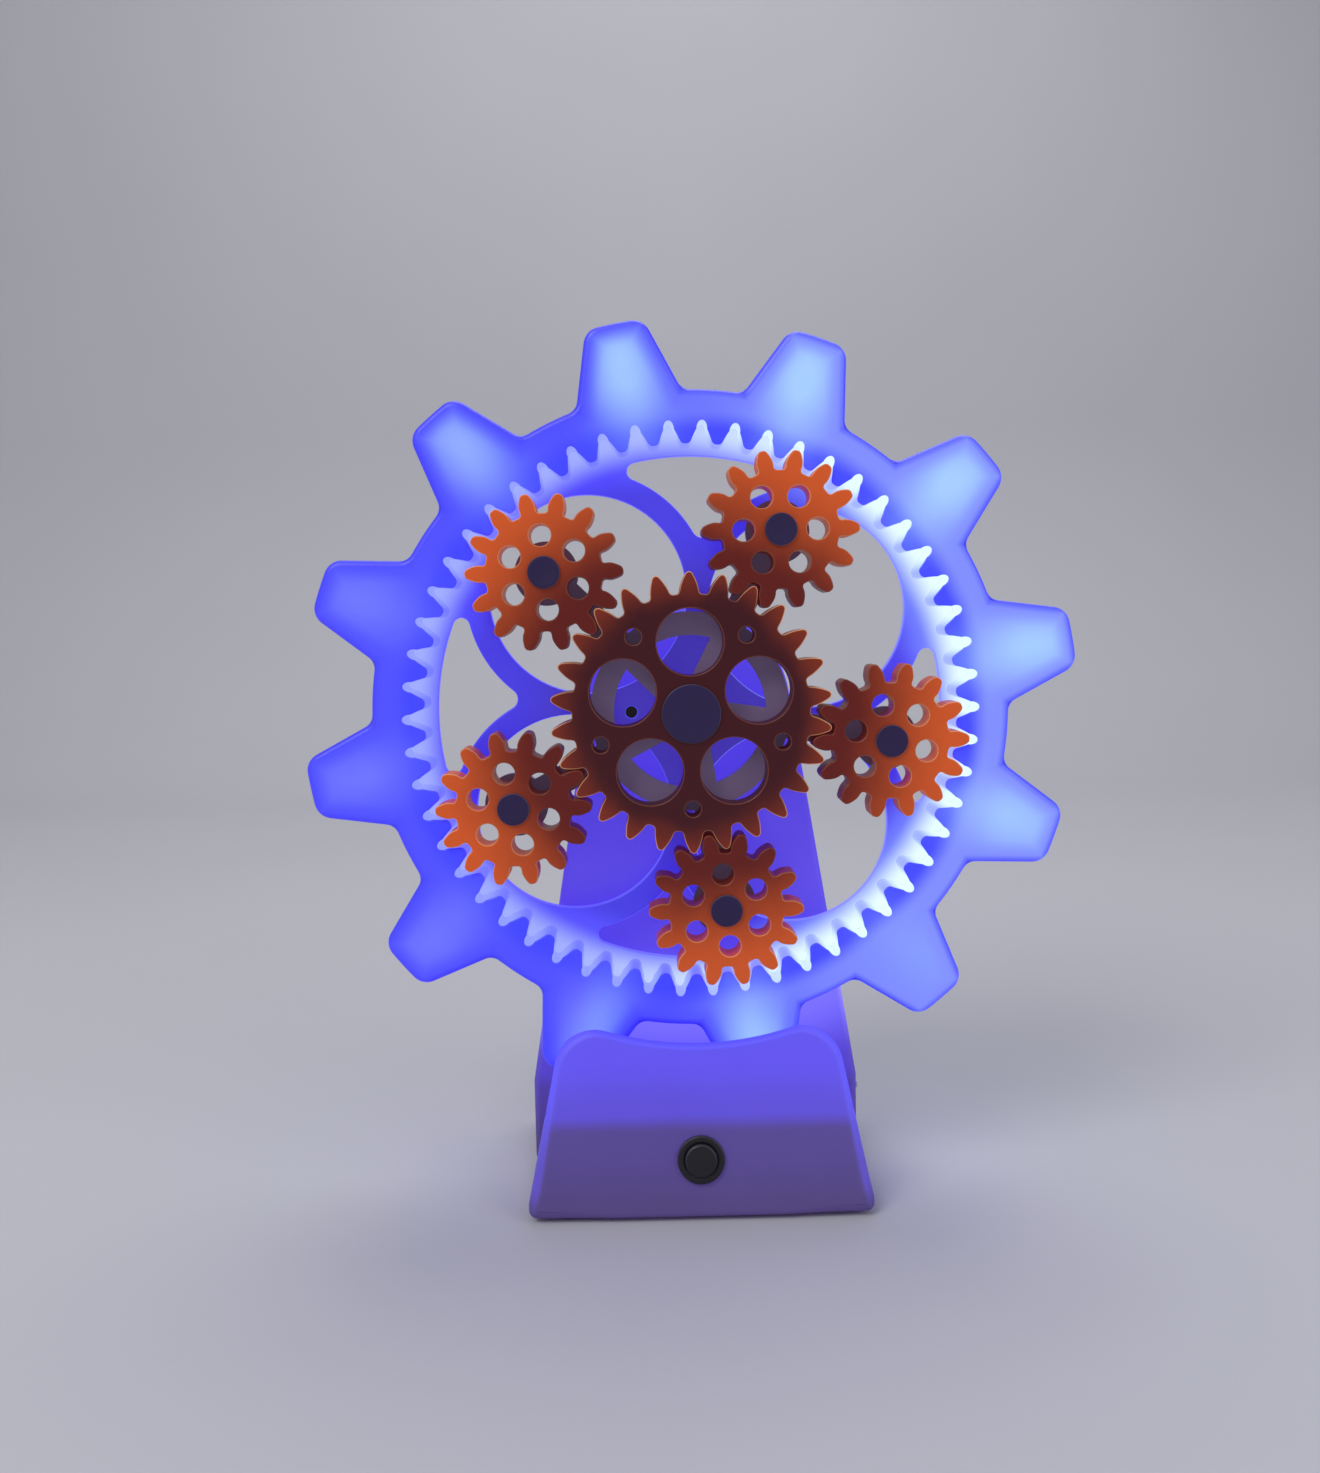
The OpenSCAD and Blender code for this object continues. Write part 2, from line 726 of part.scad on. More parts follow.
module button_cap()
{
    color("black") on_axis() on_lip() rod(button_cap_r, button_bezel_t + button_proud, -3.5);
}

module switch_body()
{
    middle = [base_half - stand_wall - 2.4, switch_h - axis_h];
    color("silver") on_axis() difference() {
        block(middle, [4.6, 10], switch_z + 2.9, switch_z - 2.9);
        translate([2, 0]) block(middle, [2.8, switch_travel + 2.4], switch_z + 1, switch_z - 1);
    }
}

module switch_slider()
{
    color("white") on_axis()
        translate([base_half - stand_wall - 1.4, switch_h + switch_travel / 2 - 0.9 - axis_h, switch_z - 0.8])
            cube([stand_wall + 2.6, 1.8, 1.6]);
}

module motor_shaft()
{
    color("silver") on_axis() rod(motor_shaft_r, motor_front + 10, motor_front - 2.5);
}

module drive_shaft()
{
    color("silver") on_axis() difference() {
        rod(shaft_r, sun_recess_z, motor_front + 0.4);
        rod(motor_shaft_r, motor_front + 10.2, motor_front);
        rod(1.25, 1, sun_recess_z - 7);
    }
}

module sun_gear()
{
    color("darkorange") on_axis() difference() {
        between(0, -gear_t) polygon(gear_points(sun_teeth, sun_root_r, sun_tip_r));
        rod(shaft_r, 1, -gear_t - 1);
        rod(sun_recess_r, 1, sun_recess_z);
        for (k = [0:4]) {
            translate(at(sun_hole_ring, 72 * k)) rod(sun_hole_r, 1, -gear_t - 1);
            translate(at(sun_pip_ring, 36 + 72 * k)) rod(sun_pip_r, 1, -gear_t - 1);
        }
    }
}

module sun_screw()
{
    color("silver") on_axis() {
        rod(5.6, sun_recess_z + 0.5, sun_recess_z);
        rod(2.6, sun_recess_z + 1.6, sun_recess_z + 0.5 - eps);
        rod(1.25, sun_recess_z + eps, sun_recess_z - 6);
    }
}

module sun_cap()
{
    color("midnightblue") on_axis() {
        rod(sun_cap_r, 0.9, 0);
        tube(sun_recess_r - 0.05, 5, eps, sun_recess_z + 1.2);
    }
}

module carrier()
{
    color("gainsboro") on_axis() difference() {
        rotate([0, 0, -carrier_turn]) between(carrier_front, carrier_front - carrier_t) {
            circle(r = carrier_hub_r);
            difference() {
                circle(r = carrier_rim_r[1]);
                circle(r = carrier_rim_r[0]);
            }
            for (k = [0:planets - 1]) rotate([0, 0, -72 * k]) {
                translate([-spoke_w / 2, 0]) square([spoke_w, gear_reach]);
                translate([0, gear_reach]) circle(r = pin_boss_r);
            }
        }
        rod(hub_bush_r, 0, carrier_front - carrier_t - 1);
        for (k = [0:planets - 1])
            translate(at(gear_reach, carrier_turn + 72 * k)) rod(pin_r, 0, carrier_front - carrier_t - 1);
    }
}

module carrier_bush()
{
    color("goldenrod") on_axis()
        tube(hub_bush_r, shaft_r + gap, -gear_t - 0.1, carrier_front - carrier_t - 0.5);
}

module planet_pins()
{
    color("silver") on_axis() for (k = [0:planets - 1])
        translate(at(gear_reach, carrier_turn + 72 * k)) difference() {
            rod(pin_r, -pin_tip, carrier_front - carrier_t);
            rod(1, 1, -6);
        }
}

module planet_caps()
{
    color("midnightblue") on_axis() for (k = [0:planets - 1])
        translate(at(gear_reach, carrier_turn + 72 * k)) {
            rod(planet_cap_r, 0.95, 0.15);
            rod(2.3, 0.15 + eps, -pin_tip);
            rod(1, 0, -5);
        }
}

// Planet k, counted clockwise from the first, turned so that its teeth mesh
module planet_gear(k)
{
    place = carrier_turn + 72 * k;
    turn = place + 180 + (180 + sun_teeth * place) / planet_teeth
        + planet_start_tooth[k] * 360 / planet_teeth;
    color("orange") on_axis() translate(at(gear_reach, place)) rotate([0, 0, -turn]) difference() {
        between(0, -gear_t) polygon(gear_points(planet_teeth, planet_root_r, planet_tip_r));
        rod(planet_bush_r, 1, -gear_t - 1);
        for (h = [0:5]) translate(at(planet_hole_ring, 60 * h)) rod(planet_hole_r, 1, -gear_t - 1);
    }
}

module planet_bush(k)
{
    color("goldenrod") on_axis() translate(at(gear_reach, carrier_turn + 72 * k)) difference() {
        union() {
            rod(planet_bush_r, -0.4, -gear_t);
            rod(planet_bush_r + 1.1, -gear_t, -gear_t - 0.5);
        }
        rod(pin_r + gap, 1, -gear_t - 1);
    }
}

stand_shell();
base_plate();
back_cover();
rubber_feet();
base_screws();
cover_screws();
ring_shell();
ring_back();
pinwheel_plate();
plate_screws();
hub_spacer();
hub_bush();
light_strip();
light_chips();
light_lead();
lead_grommet();
gearbox();
motor_can();
motor_cap();
motor_bracket();
motor_screws();
control_board();
board_chips();
board_screws();
usb_inlet();
harness();
button_housing();
button_nut();
button_cap();
switch_body();
switch_slider();
motor_shaft();
drive_shaft();
sun_gear();
sun_screw();
sun_cap();
carrier();
carrier_bush();
planet_pins();
planet_caps();
planet_gear(0);  // planet_gear_1
planet_gear(1);  // planet_gear_2
planet_gear(2);  // planet_gear_3
planet_gear(3);  // planet_gear_4
planet_gear(4);  // planet_gear_5
planet_bush(0);  // planet_bush_1
planet_bush(1);  // planet_bush_2
planet_bush(2);  // planet_bush_3
planet_bush(3);  // planet_bush_4
planet_bush(4);  // planet_bush_5
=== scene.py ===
import json
import math
import bmesh
import bpy
from mathutils import Matrix, Vector
from mathutils.geometry import tessellate_polygon


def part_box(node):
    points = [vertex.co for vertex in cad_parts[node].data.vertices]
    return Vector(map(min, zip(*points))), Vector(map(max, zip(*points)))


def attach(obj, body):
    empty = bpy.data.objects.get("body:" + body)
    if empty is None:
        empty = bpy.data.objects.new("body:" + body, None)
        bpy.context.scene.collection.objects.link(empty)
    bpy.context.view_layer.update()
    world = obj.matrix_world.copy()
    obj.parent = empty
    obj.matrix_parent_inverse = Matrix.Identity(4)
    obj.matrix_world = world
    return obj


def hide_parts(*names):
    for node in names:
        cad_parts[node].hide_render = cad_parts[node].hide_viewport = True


# A lit planetary-gear night lamp. Flat outlines are in millimetres as seen from the front: x to the
# right, y up from the gear axis, z towards the viewer from the gears' front plane.

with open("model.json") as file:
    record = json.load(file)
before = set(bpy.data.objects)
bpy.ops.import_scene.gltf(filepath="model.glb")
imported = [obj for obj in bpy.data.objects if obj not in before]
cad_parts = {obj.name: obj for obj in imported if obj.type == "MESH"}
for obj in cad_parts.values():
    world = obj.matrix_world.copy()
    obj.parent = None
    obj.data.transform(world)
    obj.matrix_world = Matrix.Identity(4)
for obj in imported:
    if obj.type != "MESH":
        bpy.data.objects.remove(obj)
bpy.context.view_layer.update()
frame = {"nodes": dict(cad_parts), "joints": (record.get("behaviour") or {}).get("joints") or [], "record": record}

MM = 0.001
JOINTS = {joint["name"]: Vector(joint["pos_m"]) for joint in frame["joints"] if "pos_m" in joint}
AXIS = JOINTS["sun_spin"]
AXIS_H = AXIS.z / MM

# Gear train
MODULE = 2.5
SUN_TEETH = 26
PLANET_TEETH = 14
PLANETS = 5
RING_TEETH = 54
PRESSURE = math.radians(24)
THINNING = 0.3
GEAR_REACH = 50.0
GEAR_T = 8.0
SUN_TIP_R = 34.9
SUN_ROOT_R = 29.5
PLANET_TIP_R = 19.4
PLANET_ROOT_R = 14.4
RING_TIP_R = 65.8
RING_ROOT_R = 71.5
START_TEETH = [0, 2, 6, 0, 4]
GEAR_EDGE = 0.42
SUN_HOLE_RING = 17.7
SUN_HOLE_R = 8.3
SUN_DOT_RING = 23.7
SUN_DOT_R = 2.0
SUN_BORE_R = 6.0
SUN_CAP_R = 7.3
PLANET_HOLE_RING = 9.1
PLANET_HOLE_R = 2.7
PLANET_BORE_R = 3.5
PLANET_CAP_R = 4.0

# Ring and plate
RING_TURN = 4.8
LOBES = 12
LOBE_STEP = 360 / LOBES
TOOTH_TURN = RING_TURN + LOBE_STEP / 2
CARRIER_TURN = (RING_TEETH * TOOTH_TURN + 360 * 3) / (SUN_TEETH + RING_TEETH)
LOBE_TIP_R = 96.45
VALLEY_R = 79.0
LOBE_TIP_HALF = 7.1
FLANK = math.radians(18)
CORNER_R = 4.5
FILLET_R = 3.5
PLATE_R = 72.4
HOLE_RING = 39.2
HOLE_R = 24.9
ARM_W = 6.0
WINDOW_R = 64.0
WINDOW_CORNER_R = 2.2
WINDOW_APEX_R = 2.6
HUB_HOLE_R = 5.5
LEAD_HOLE = (-14.9, 0)
LEAD_HOLE_R = 1.5
RING_HOLE_R = 70.0

# Depths
RING_FRONT = -1.6
PLATE_FRONT = -11.2
PLATE_BACK = -13.6
RING_SEAM = -15.6
RING_BACK = -17.6
COLUMN_FRONT = -18.2
COLUMN_BACK = -52.2

# Stand
FOOT_H = 1.2
FLOOR_Y = FOOT_H - AXIS_H
SLOT_Y = 24.3 - AXIS_H
HEAD_R = 26.5
TAPER = math.radians(9.3)
BASE_HALF = 43.0
LIP_ARC_R = 80.4
EAR_R = 10.0
EAR_A = 16.4
LIP_SIDE = 11.6
LEAN = math.radians(9.8)
LIP_REACH = 10.0
WALL = 2.4
BUTTON_Y = 14.8 - AXIS_H
INLET = (0, 11.2 - AXIS_H)
INLET_DEEP = 9.0
SCREW_HEAD_R = 2.2
SCREW_PLACES = [(0, 17), (-27, -52), (27, -52), (-36.4, -110.5), (36.4, -110.5)]
FOOT_PLACES = [(-33, 8), (33, 8), (-33, -45), (33, -45)]

# Camera: metres from the gear axis, and degrees
CAMERA_FROM_AXIS = (-0.0109, -0.3247, 0.0225)
CAMERA_YAW = -0.54
CAMERA_PITCH = -4.92
CAMERA_ROLL = -1.12


# ---- Outlines ----

def at(radius, clock):
    """A point at a radius and a clock angle in degrees."""
    turn = math.radians(clock)
    return (radius * math.sin(turn), radius * math.cos(turn))


def circle(centre, radius, steps=48):
    return [(centre[0] + radius * math.cos(math.tau * i / steps),
             centre[1] + radius * math.sin(math.tau * i / steps)) for i in range(steps)]


def arc(centre, radius, start, end, steps):
    """Points of an arc, by ordinary angles in degrees."""
    points = []
    for i in range(steps + 1):
        turn = math.radians(start + (end - start) * i / steps)
        points.append((centre[0] + radius * math.cos(turn), centre[1] + radius * math.sin(turn)))
    return points


def mirrored(points):
    return [(-x, y) for x, y in reversed(points)]


def turned(points, clock, centre=(0, 0)):
    """Points turned clockwise about the origin, then moved to a centre."""
    turn = math.radians(clock)
    c, s = math.cos(turn), math.sin(turn)
    return [(centre[0] + x * c + y * s, centre[1] + y * c - x * s) for x, y in points]


def involute(base, radius):
    opened = math.acos(min(1.0, base / radius))
    return math.tan(opened) - opened


def half_tooth(teeth, radius, change):
    """Half angle in degrees of a tooth, or of a ring's tooth gap, at a radius."""
    pitch = MODULE * teeth / 2
    base = pitch * math.cos(PRESSURE)
    spread = change / 2 / pitch + involute(base, pitch) - involute(base, radius)
    return 90 / teeth + math.degrees(spread)


def fillet(share):
    """How far a quarter circle has moved in, for a share of its height."""
    return 1 - math.sqrt(max(0.0, 1 - share * share))


def tooth_side(teeth, root_r, tip_r):
    """Radii and half angles down one side of an outer tooth."""
    tip_round, root_round = 0.6, 0.8
    side = []
    for i in range(6):
        share = math.cos(math.radians(i * 18))
        radius = tip_r - tip_round + tip_round * share
        inwards = math.degrees(fillet(share * 0.98) * tip_round / radius)
        side.append((radius, half_tooth(teeth, radius, -THINNING) - inwards))
    for i in range(1, 6):
        radius = tip_r - tip_round - (tip_r - tip_round - root_r - root_round) * i / 5
        side.append((radius, half_tooth(teeth, radius, -THINNING)))
    for i in range(1, 4):
        share = math.sin(math.radians(i * 28))
        radius = root_r + root_round * (1 - share)
        outwards = math.degrees(fillet(share) * root_round / radius)
        side.append((radius, half_tooth(teeth, radius, -THINNING) + outwards))
    return side


def gap_side():
    """Radii and half angles down one side of a gap between two of the ring's teeth."""
    end_round, tip_round = 2.1, 0.8
    flank_end = RING_ROOT_R - end_round
    side = []
    for i in range(6):
        share = math.cos(math.radians(i * 18))
        width = math.sqrt(1 - share * share * 0.98)
        side.append((flank_end + end_round * share, half_tooth(RING_TEETH, flank_end, THINNING) * width))
    for i in range(1, 5):
        radius = flank_end - (flank_end - RING_TIP_R - tip_round) * i / 4
        side.append((radius, half_tooth(RING_TEETH, radius, THINNING)))
    for i in range(1, 5):
        share = math.sin(math.radians(i * 22))
        radius = RING_TIP_R + tip_round * (1 - share)
        outwards = math.degrees(fillet(share) * tip_round / radius)
        side.append((radius, half_tooth(RING_TEETH, radius, THINNING) + outwards))
    return side


def toothed(side, teeth, first):
    """A closed outline made of one side repeated round the circle."""
    points = []
    for k in range(teeth):
        middle = first + 360 * k / teeth
        points += [at(r, middle - half) for r, half in reversed(side)]
        points += [at(r, middle + half) for r, half in side]
    return points


def lobe_half():
    """Right half of a lobe that points up, from its tip to the middle of the valley."""
    c, s = math.cos(FLANK), math.sin(FLANK)
    flank = c * LOBE_TIP_HALF + s * LOBE_TIP_R
    along = math.sqrt((LOBE_TIP_R - CORNER_R) ** 2 - (flank - CORNER_R) ** 2)
    low = math.sqrt((VALLEY_R + FILLET_R) ** 2 - (flank + FILLET_R) ** 2)
    corner = ((flank - CORNER_R) * c - along * s, (flank - CORNER_R) * s + along * c)
    valley = ((flank + FILLET_R) * c - low * s, (flank + FILLET_R) * s + low * c)
    tip_a = math.degrees(math.atan2(*corner))
    valley_a = math.degrees(math.atan2(*valley))
    points = [at(LOBE_TIP_R, tip_a * share) for share in (0.25, 0.55, 0.8)]
    points += arc(corner, CORNER_R, 90 - tip_a, math.degrees(FLANK), 8)
    points += arc(valley, FILLET_R, 180 + math.degrees(FLANK), 270 - valley_a, 7)
    points += [at(VALLEY_R, valley_a + (LOBE_STEP / 2 - valley_a) * share) for share in (0.25, 0.6, 0.9)]
    return points


def ring_outline():
    half = lobe_half()
    lobe = mirrored(half) + half
    points = []
    for k in range(LOBES):
        points += turned(lobe, TOOTH_TURN + k * LOBE_STEP)
    return points


def window_outline(clock):
    """One of the plate's windows: a triangle of arcs with rounded corners."""
    reach = HOLE_R + ARM_W
    across = HOLE_RING * math.sin(math.radians(45))
    side_c = (across, across)
    corner_r = WINDOW_R - WINDOW_CORNER_R
    far = reach + WINDOW_CORNER_R
    beta = math.degrees(math.acos((corner_r ** 2 + HOLE_RING ** 2 - far ** 2) / (2 * corner_r * HOLE_RING)))
    corner_c = at(corner_r, 45 - beta)
    apex_c = (0, across + math.sqrt((reach + WINDOW_APEX_R) ** 2 - across ** 2))
    corner_a = math.degrees(math.atan2(corner_c[1] - across, corner_c[0] - across))
    apex_a = math.degrees(math.atan2(apex_c[1] - across, apex_c[0] - across))
    half = [at(WINDOW_R, (45 - beta) * i / 8) for i in range(1, 9)]
    half += arc(corner_c, WINDOW_CORNER_R, 45 + beta, corner_a - 180, 8)[1:]
    half += arc(side_c, reach, corner_a, apex_a, 18)[1:]
    half += arc(apex_c, WINDOW_APEX_R, apex_a - 180, -90, 5)[1:]
    return turned([at(WINDOW_R, 0)] + half + mirrored(half)[1:], clock)


def column_outline(inset=0.0, bottom=None):
    """The column: a round head, tapered sides and an upright foot."""
    low = FLOOR_Y if bottom is None else bottom
    bend = (HEAD_R - BASE_HALF * math.cos(TAPER)) / math.sin(TAPER)
    half = BASE_HALF - inset
    head = arc((0, 0), HEAD_R - inset, math.degrees(TAPER), 180 - math.degrees(TAPER), 40)
    right = [(half, bend - (bend - low) * i / 6) for i in range(6, -1, -1)]
    first = Vector(right[-1])
    slope = [tuple(first.lerp(Vector(head[0]), i / 14)) for i in range(1, 14)]
    return right + slope + head + mirrored(slope) + mirrored(right)


def lip_outline(bottom):
    """The lip: a hollow about the ring, two round shoulders and leaning sides."""
    ear = tuple((LIP_ARC_R + EAR_R) * v for v in (math.sin(math.radians(EAR_A)),
                                                   -math.cos(math.radians(EAR_A))))
    shoulder = arc(ear, EAR_R, LIP_SIDE, 90 + EAR_A, 16)
    slope = math.tan(math.radians(LIP_SIDE))
    heights = [bottom + (shoulder[0][1] - bottom) * i / 24 for i in range(24)]
    side = [(shoulder[0][0] + (shoulder[0][1] - h) * slope, h) for h in heights]
    right = side + shoulder
    hollow = arc((0, 0), LIP_ARC_R, 270 + EAR_A, 270 - EAR_A, 28)[1:-1]
    return right + hollow + mirrored(right)


# ---- Meshes ----

def place(x, y, z):
    return (x * MM, AXIS.y - z * MM, AXIS.z + y * MM)


def signed_area(loop):
    return sum(a[0] * b[1] - b[0] * a[1] for a, b in zip(loop, loop[1:] + loop[:1])) / 2


def wound(loop, outer=True):
    """An outline that runs with its material on its left."""
    return loop if (signed_area(loop) > 0) == outer else list(reversed(loop))


def inset_loop(loop, amounts):
    """An outline moved towards its material, point by point."""
    moved = []
    count = len(loop)
    for i, (x, y) in enumerate(loop):
        back, ahead = loop[i - 1], loop[(i + 1) % count]
        one = Vector((x - back[0], y - back[1])).normalized()
        two = Vector((ahead[0] - x, ahead[1] - y)).normalized()
        normal = Vector((-one.y - two.y, one.x + two.x))
        normal = normal.normalized() if normal.length > 1e-9 else Vector((-one.y, one.x))
        stretch = 1 / max(0.6, normal.dot(Vector((-one.y, one.x))))
        amount = amounts[i] if isinstance(amounts, list) else amounts
        moved.append((x + normal.x * amount * stretch, y + normal.y * amount * stretch))
    return moved


class Solid:
    """A mesh made of rings of points, walls between rings and flat caps."""

    def __init__(self, name):
        self.name = name
        self.points = []
        self.faces = []

    def ring(self, points):
        start = len(self.points)
        self.points += [Vector(p) for p in points]
        return list(range(start, len(self.points)))

    def wall(self, rings):
        for low, high in zip(rings, rings[1:]):
            for i in range(len(low)):
                j = (i + 1) % len(low)
                self.faces.append((low[i], low[j], high[j], high[i]))

    def cap(self, rings):
        flat = [[Vector((self.points[i].x, self.points[i].y, 0)) for i in ring] for ring in rings]
        index = [i for ring in rings for i in ring]
        for a, b, c in tessellate_polygon(flat):
            self.faces.append((index[a], index[b], index[c]))

    def finish(self, matrix=None):
        """A smooth Blender object in the row frame, welded, with its faces outwards."""
        mesh = bpy.data.meshes.new(self.name)
        spots = [matrix @ p if matrix else p for p in self.points]
        mesh.from_pydata([place(*p) for p in spots], [], self.faces)
        mesh.update()
        clean(mesh)
        piece = bpy.data.objects.new(self.name, mesh)
        bpy.context.scene.collection.objects.link(piece)
        return piece


def clean(mesh):
    """Welds a mesh, turns its faces outwards and shades it smooth."""
    work = bmesh.new()
    work.from_mesh(mesh)
    bmesh.ops.remove_doubles(work, verts=work.verts, dist=2e-6)
    bmesh.ops.dissolve_degenerate(work, edges=work.edges, dist=1e-6)
    bmesh.ops.recalc_face_normals(work, faces=work.faces)
    for face in work.faces:
        face.smooth = True
    work.to_mesh(mesh)
    work.free()


def weighted(piece):
    """Keeps flat faces flat beside rounded edges."""
    modifier = piece.modifiers.new("flat_faces", "WEIGHTED_NORMAL")
    modifier.weight = 80
    modifier.keep_sharp = True
    return piece


def quarter(radius, steps, front, direction):
    """(inset, z) pairs round a quarter circle from a flat face to its side."""
    pairs = []
    for i in range(steps + 1):
        turn = math.radians(90 * i / steps)
        pairs.append((radius * (1 - math.sin(turn)), front + direction * radius * (1 - math.cos(turn))))
    return pairs


def slab(name, outer, holes, front, back, edge=0.4, back_edge=None, hole_edge=None, steps=4):
    """A plate between two depths with rounded edges, cut from flat outlines."""
    solid = Solid(name)
    fronts, backs = [], []
    back_edge = edge if back_edge is None else back_edge
    for loop, is_outer in [(wound(outer), True)] + [(wound(h, False), False) for h in holes]:
        round_f = edge if is_outer or hole_edge is None else hole_edge
        round_b = back_edge if is_outer or hole_edge is None else min(hole_edge, back_edge)
        pairs = quarter(round_f, steps, front, -1) + list(reversed(quarter(round_b, steps, back, 1)))
        rings = [solid.ring([(x, y, z) for x, y in inset_loop(loop, inset)]) for inset, z in pairs]
        solid.wall(rings)
        fronts.append(rings[0])
        backs.append(rings[-1])
    solid.cap(fronts)
    solid.cap(backs)
    return weighted(solid.finish())


def lathe(name, centres, profile, steps=48, matrix=None):
    """Round pieces about z: a profile of (radius, z) from the middle of one end to the other."""
    solid = Solid(name)
    for centre in centres:
        cx, cy = centre[0], centre[1]
        rings = []
        for radius, z in profile:
            if radius == 0:
                rings.append(solid.ring([(cx, cy, z)] * steps))
            else:
                rings.append(solid.ring([(x, y, z) for x, y in circle((cx, cy), radius, steps)]))
        solid.wall(rings)
    return weighted(solid.finish(matrix))


def rounded_end(radius, top, edge, steps=5):
    """Profile points from a flat end's middle round its edge."""
    points = [(0, top), (radius * 0.5, top)]
    for i in range(steps + 1):
        turn = math.radians(90 * i / steps)
        points.append((radius - edge + edge * math.sin(turn), top - edge + edge * math.cos(turn)))
    return points


# ---- Materials ----

def light(red, green, blue):
    """A display colour of 0 to 255 as linear values."""
    return tuple(c / 12.92 if c <= 0.04045 else ((c + 0.055) / 1.055) ** 2.4
                 for c in (red / 255, green / 255, blue / 255)) + (1.0,)


class Term:
    """A number that a material works out, for use in formulas."""

    def __init__(self, paint, socket):
        self.paint = paint
        self.socket = socket

    def _math(self, operation, *others):
        return self.paint.math(operation, self, *others)

    def __add__(self, other):
        return self._math("ADD", other)

    def __sub__(self, other):
        return self._math("SUBTRACT", other)

    def __mul__(self, other):
        return self._math("MULTIPLY", other)

    def __truediv__(self, other):
        return self._math("DIVIDE", other)

    def __rsub__(self, other):
        return self.paint.math("SUBTRACT", other, self)

    def __abs__(self):
        return self._math("ABSOLUTE")


class Paint:
    """A procedural material whose colours are formulas of the place on the lamp."""

    def __init__(self, name, roughness=0.5, metallic=0.0, coat=0.0, emission=0.0):
        self.material = bpy.data.materials.new(name)
        self.material.use_nodes = True
        self.nodes = self.material.node_tree.nodes
        self.links = self.material.node_tree.links
        self.shader = self.nodes["Principled BSDF"]
        self.shader.inputs["Roughness"].default_value = roughness
        self.shader.inputs["Metallic"].default_value = metallic
        self.shader.inputs["Coat Weight"].default_value = coat
        self.shader.inputs["Emission Strength"].default_value = emission
        self.spot = self.nodes.new("ShaderNodeTexCoord").outputs["Object"]
        split = self.split(self.spot)
        self.x = split[0] / MM
        self.y = (split[2] - AXIS.z) / MM
        self.z = (AXIS.y - split[1]) / MM

    def math(self, operation, *values):
        node = self.nodes.new("ShaderNodeMath")
        node.operation = operation
        for i, value in enumerate(values):
            self.feed(node.inputs[i], value)
        return Term(self, node.outputs[0])

    def feed(self, socket, value):
        if isinstance(value, Term):
            self.links.new(value.socket, socket)
        elif isinstance(value, bpy.types.NodeSocket):
            self.links.new(value, socket)
        else:
            socket.default_value = value

    def split(self, vector):
        node = self.nodes.new("ShaderNodeSeparateXYZ")
        self.links.new(vector, node.inputs[0])
        return [Term(self, output) for output in node.outputs]

    def facing(self):
        """1 on faces square to the gear axis and 0 on their walls."""
        return abs(self.split(self.nodes.new("ShaderNodeNewGeometry").outputs["Normal"])[1])

    def step(self, value, low, high):
        """0 below low and 1 above high, smooth between them."""
        node = self.nodes.new("ShaderNodeMapRange")
        node.interpolation_type = "SMOOTHSTEP"
        self.feed(node.inputs["Value"], value)
        node.inputs["From Min"].default_value = min(low, high)
        node.inputs["From Max"].default_value = max(low, high)
        node.inputs["To Min"].default_value = 0.0 if low < high else 1.0
        node.inputs["To Max"].default_value = 1.0 if low < high else 0.0
        return Term(self, node.outputs["Result"])

    def noise(self, scale, detail=3.0, stretch=(1, 1, 1)):
        """Noise from 0 to 1; scale counts its waves in a metre."""
        mapping = self.nodes.new("ShaderNodeMapping")
        mapping.inputs["Scale"].default_value = stretch
        self.links.new(self.spot, mapping.inputs["Vector"])
        node = self.nodes.new("ShaderNodeTexNoise")
        node.inputs["Scale"].default_value = scale
        node.inputs["Detail"].default_value = detail
        self.links.new(mapping.outputs[0], node.inputs["Vector"])
        return Term(self, node.outputs["Fac"])

    def mix(self, share, first, second):
        node = self.nodes.new("ShaderNodeMix")
        node.data_type = "RGBA"
        self.feed(node.inputs[0], share)
        self.feed(node.inputs[6], first)
        self.feed(node.inputs[7], second)
        return node.outputs[2]

    def bump(self, height, strength, distance):
        node = self.nodes.new("ShaderNodeBump")
        node.inputs["Strength"].default_value = strength
        node.inputs["Distance"].default_value = distance
        self.feed(node.inputs["Height"], height)
        self.links.new(node.outputs[0], self.shader.inputs["Normal"])

    def set(self, socket, value):
        self.feed(self.shader.inputs[socket], value)

    def radius(self):
        """Distance from the gear axis, in the piece's own place at rest."""
        return self.math("SQRT", self.x * self.x + self.y * self.y)

    def lamp_radius(self):
        """Distance from the gear axis, which stays true when the piece turns."""
        spot = self.split(self.nodes.new("ShaderNodeNewGeometry").outputs["Position"])
        dx, dy = spot[0] / MM, (spot[2] - AXIS.z) / MM
        return self.math("SQRT", dx * dx + dy * dy)

    def clock(self):
        return self.math("ARCTAN2", self.x, self.y) * (180 / math.pi)

    def toward(self, clock):
        """0 on the far side of the lamp and 1 at a clock angle."""
        turn = (self.clock() - clock) * (math.pi / 180)
        return self.math("COSINE", turn) * 0.5 + 0.5


def lobe_depth(paint):
    """Distance in from the ring's outline, and the place along and across the nearest lobe."""
    share = (paint.clock() - TOOTH_TURN) / LOBE_STEP + 100.5
    offset = (paint.math("FRACT", share) - 0.5) * math.radians(LOBE_STEP)
    radius = paint.radius()
    along = radius * paint.math("COSINE", offset)
    across = abs(radius * paint.math("SINE", offset))
    c, s = math.cos(FLANK), math.sin(FLANK)
    flank = (c * LOBE_TIP_HALF + s * LOBE_TIP_R) - (across * c + along * s)
    lobe = paint.math("MINIMUM", LOBE_TIP_R - radius, flank)
    return paint.math("MAXIMUM", lobe, VALLEY_R - radius), along, across


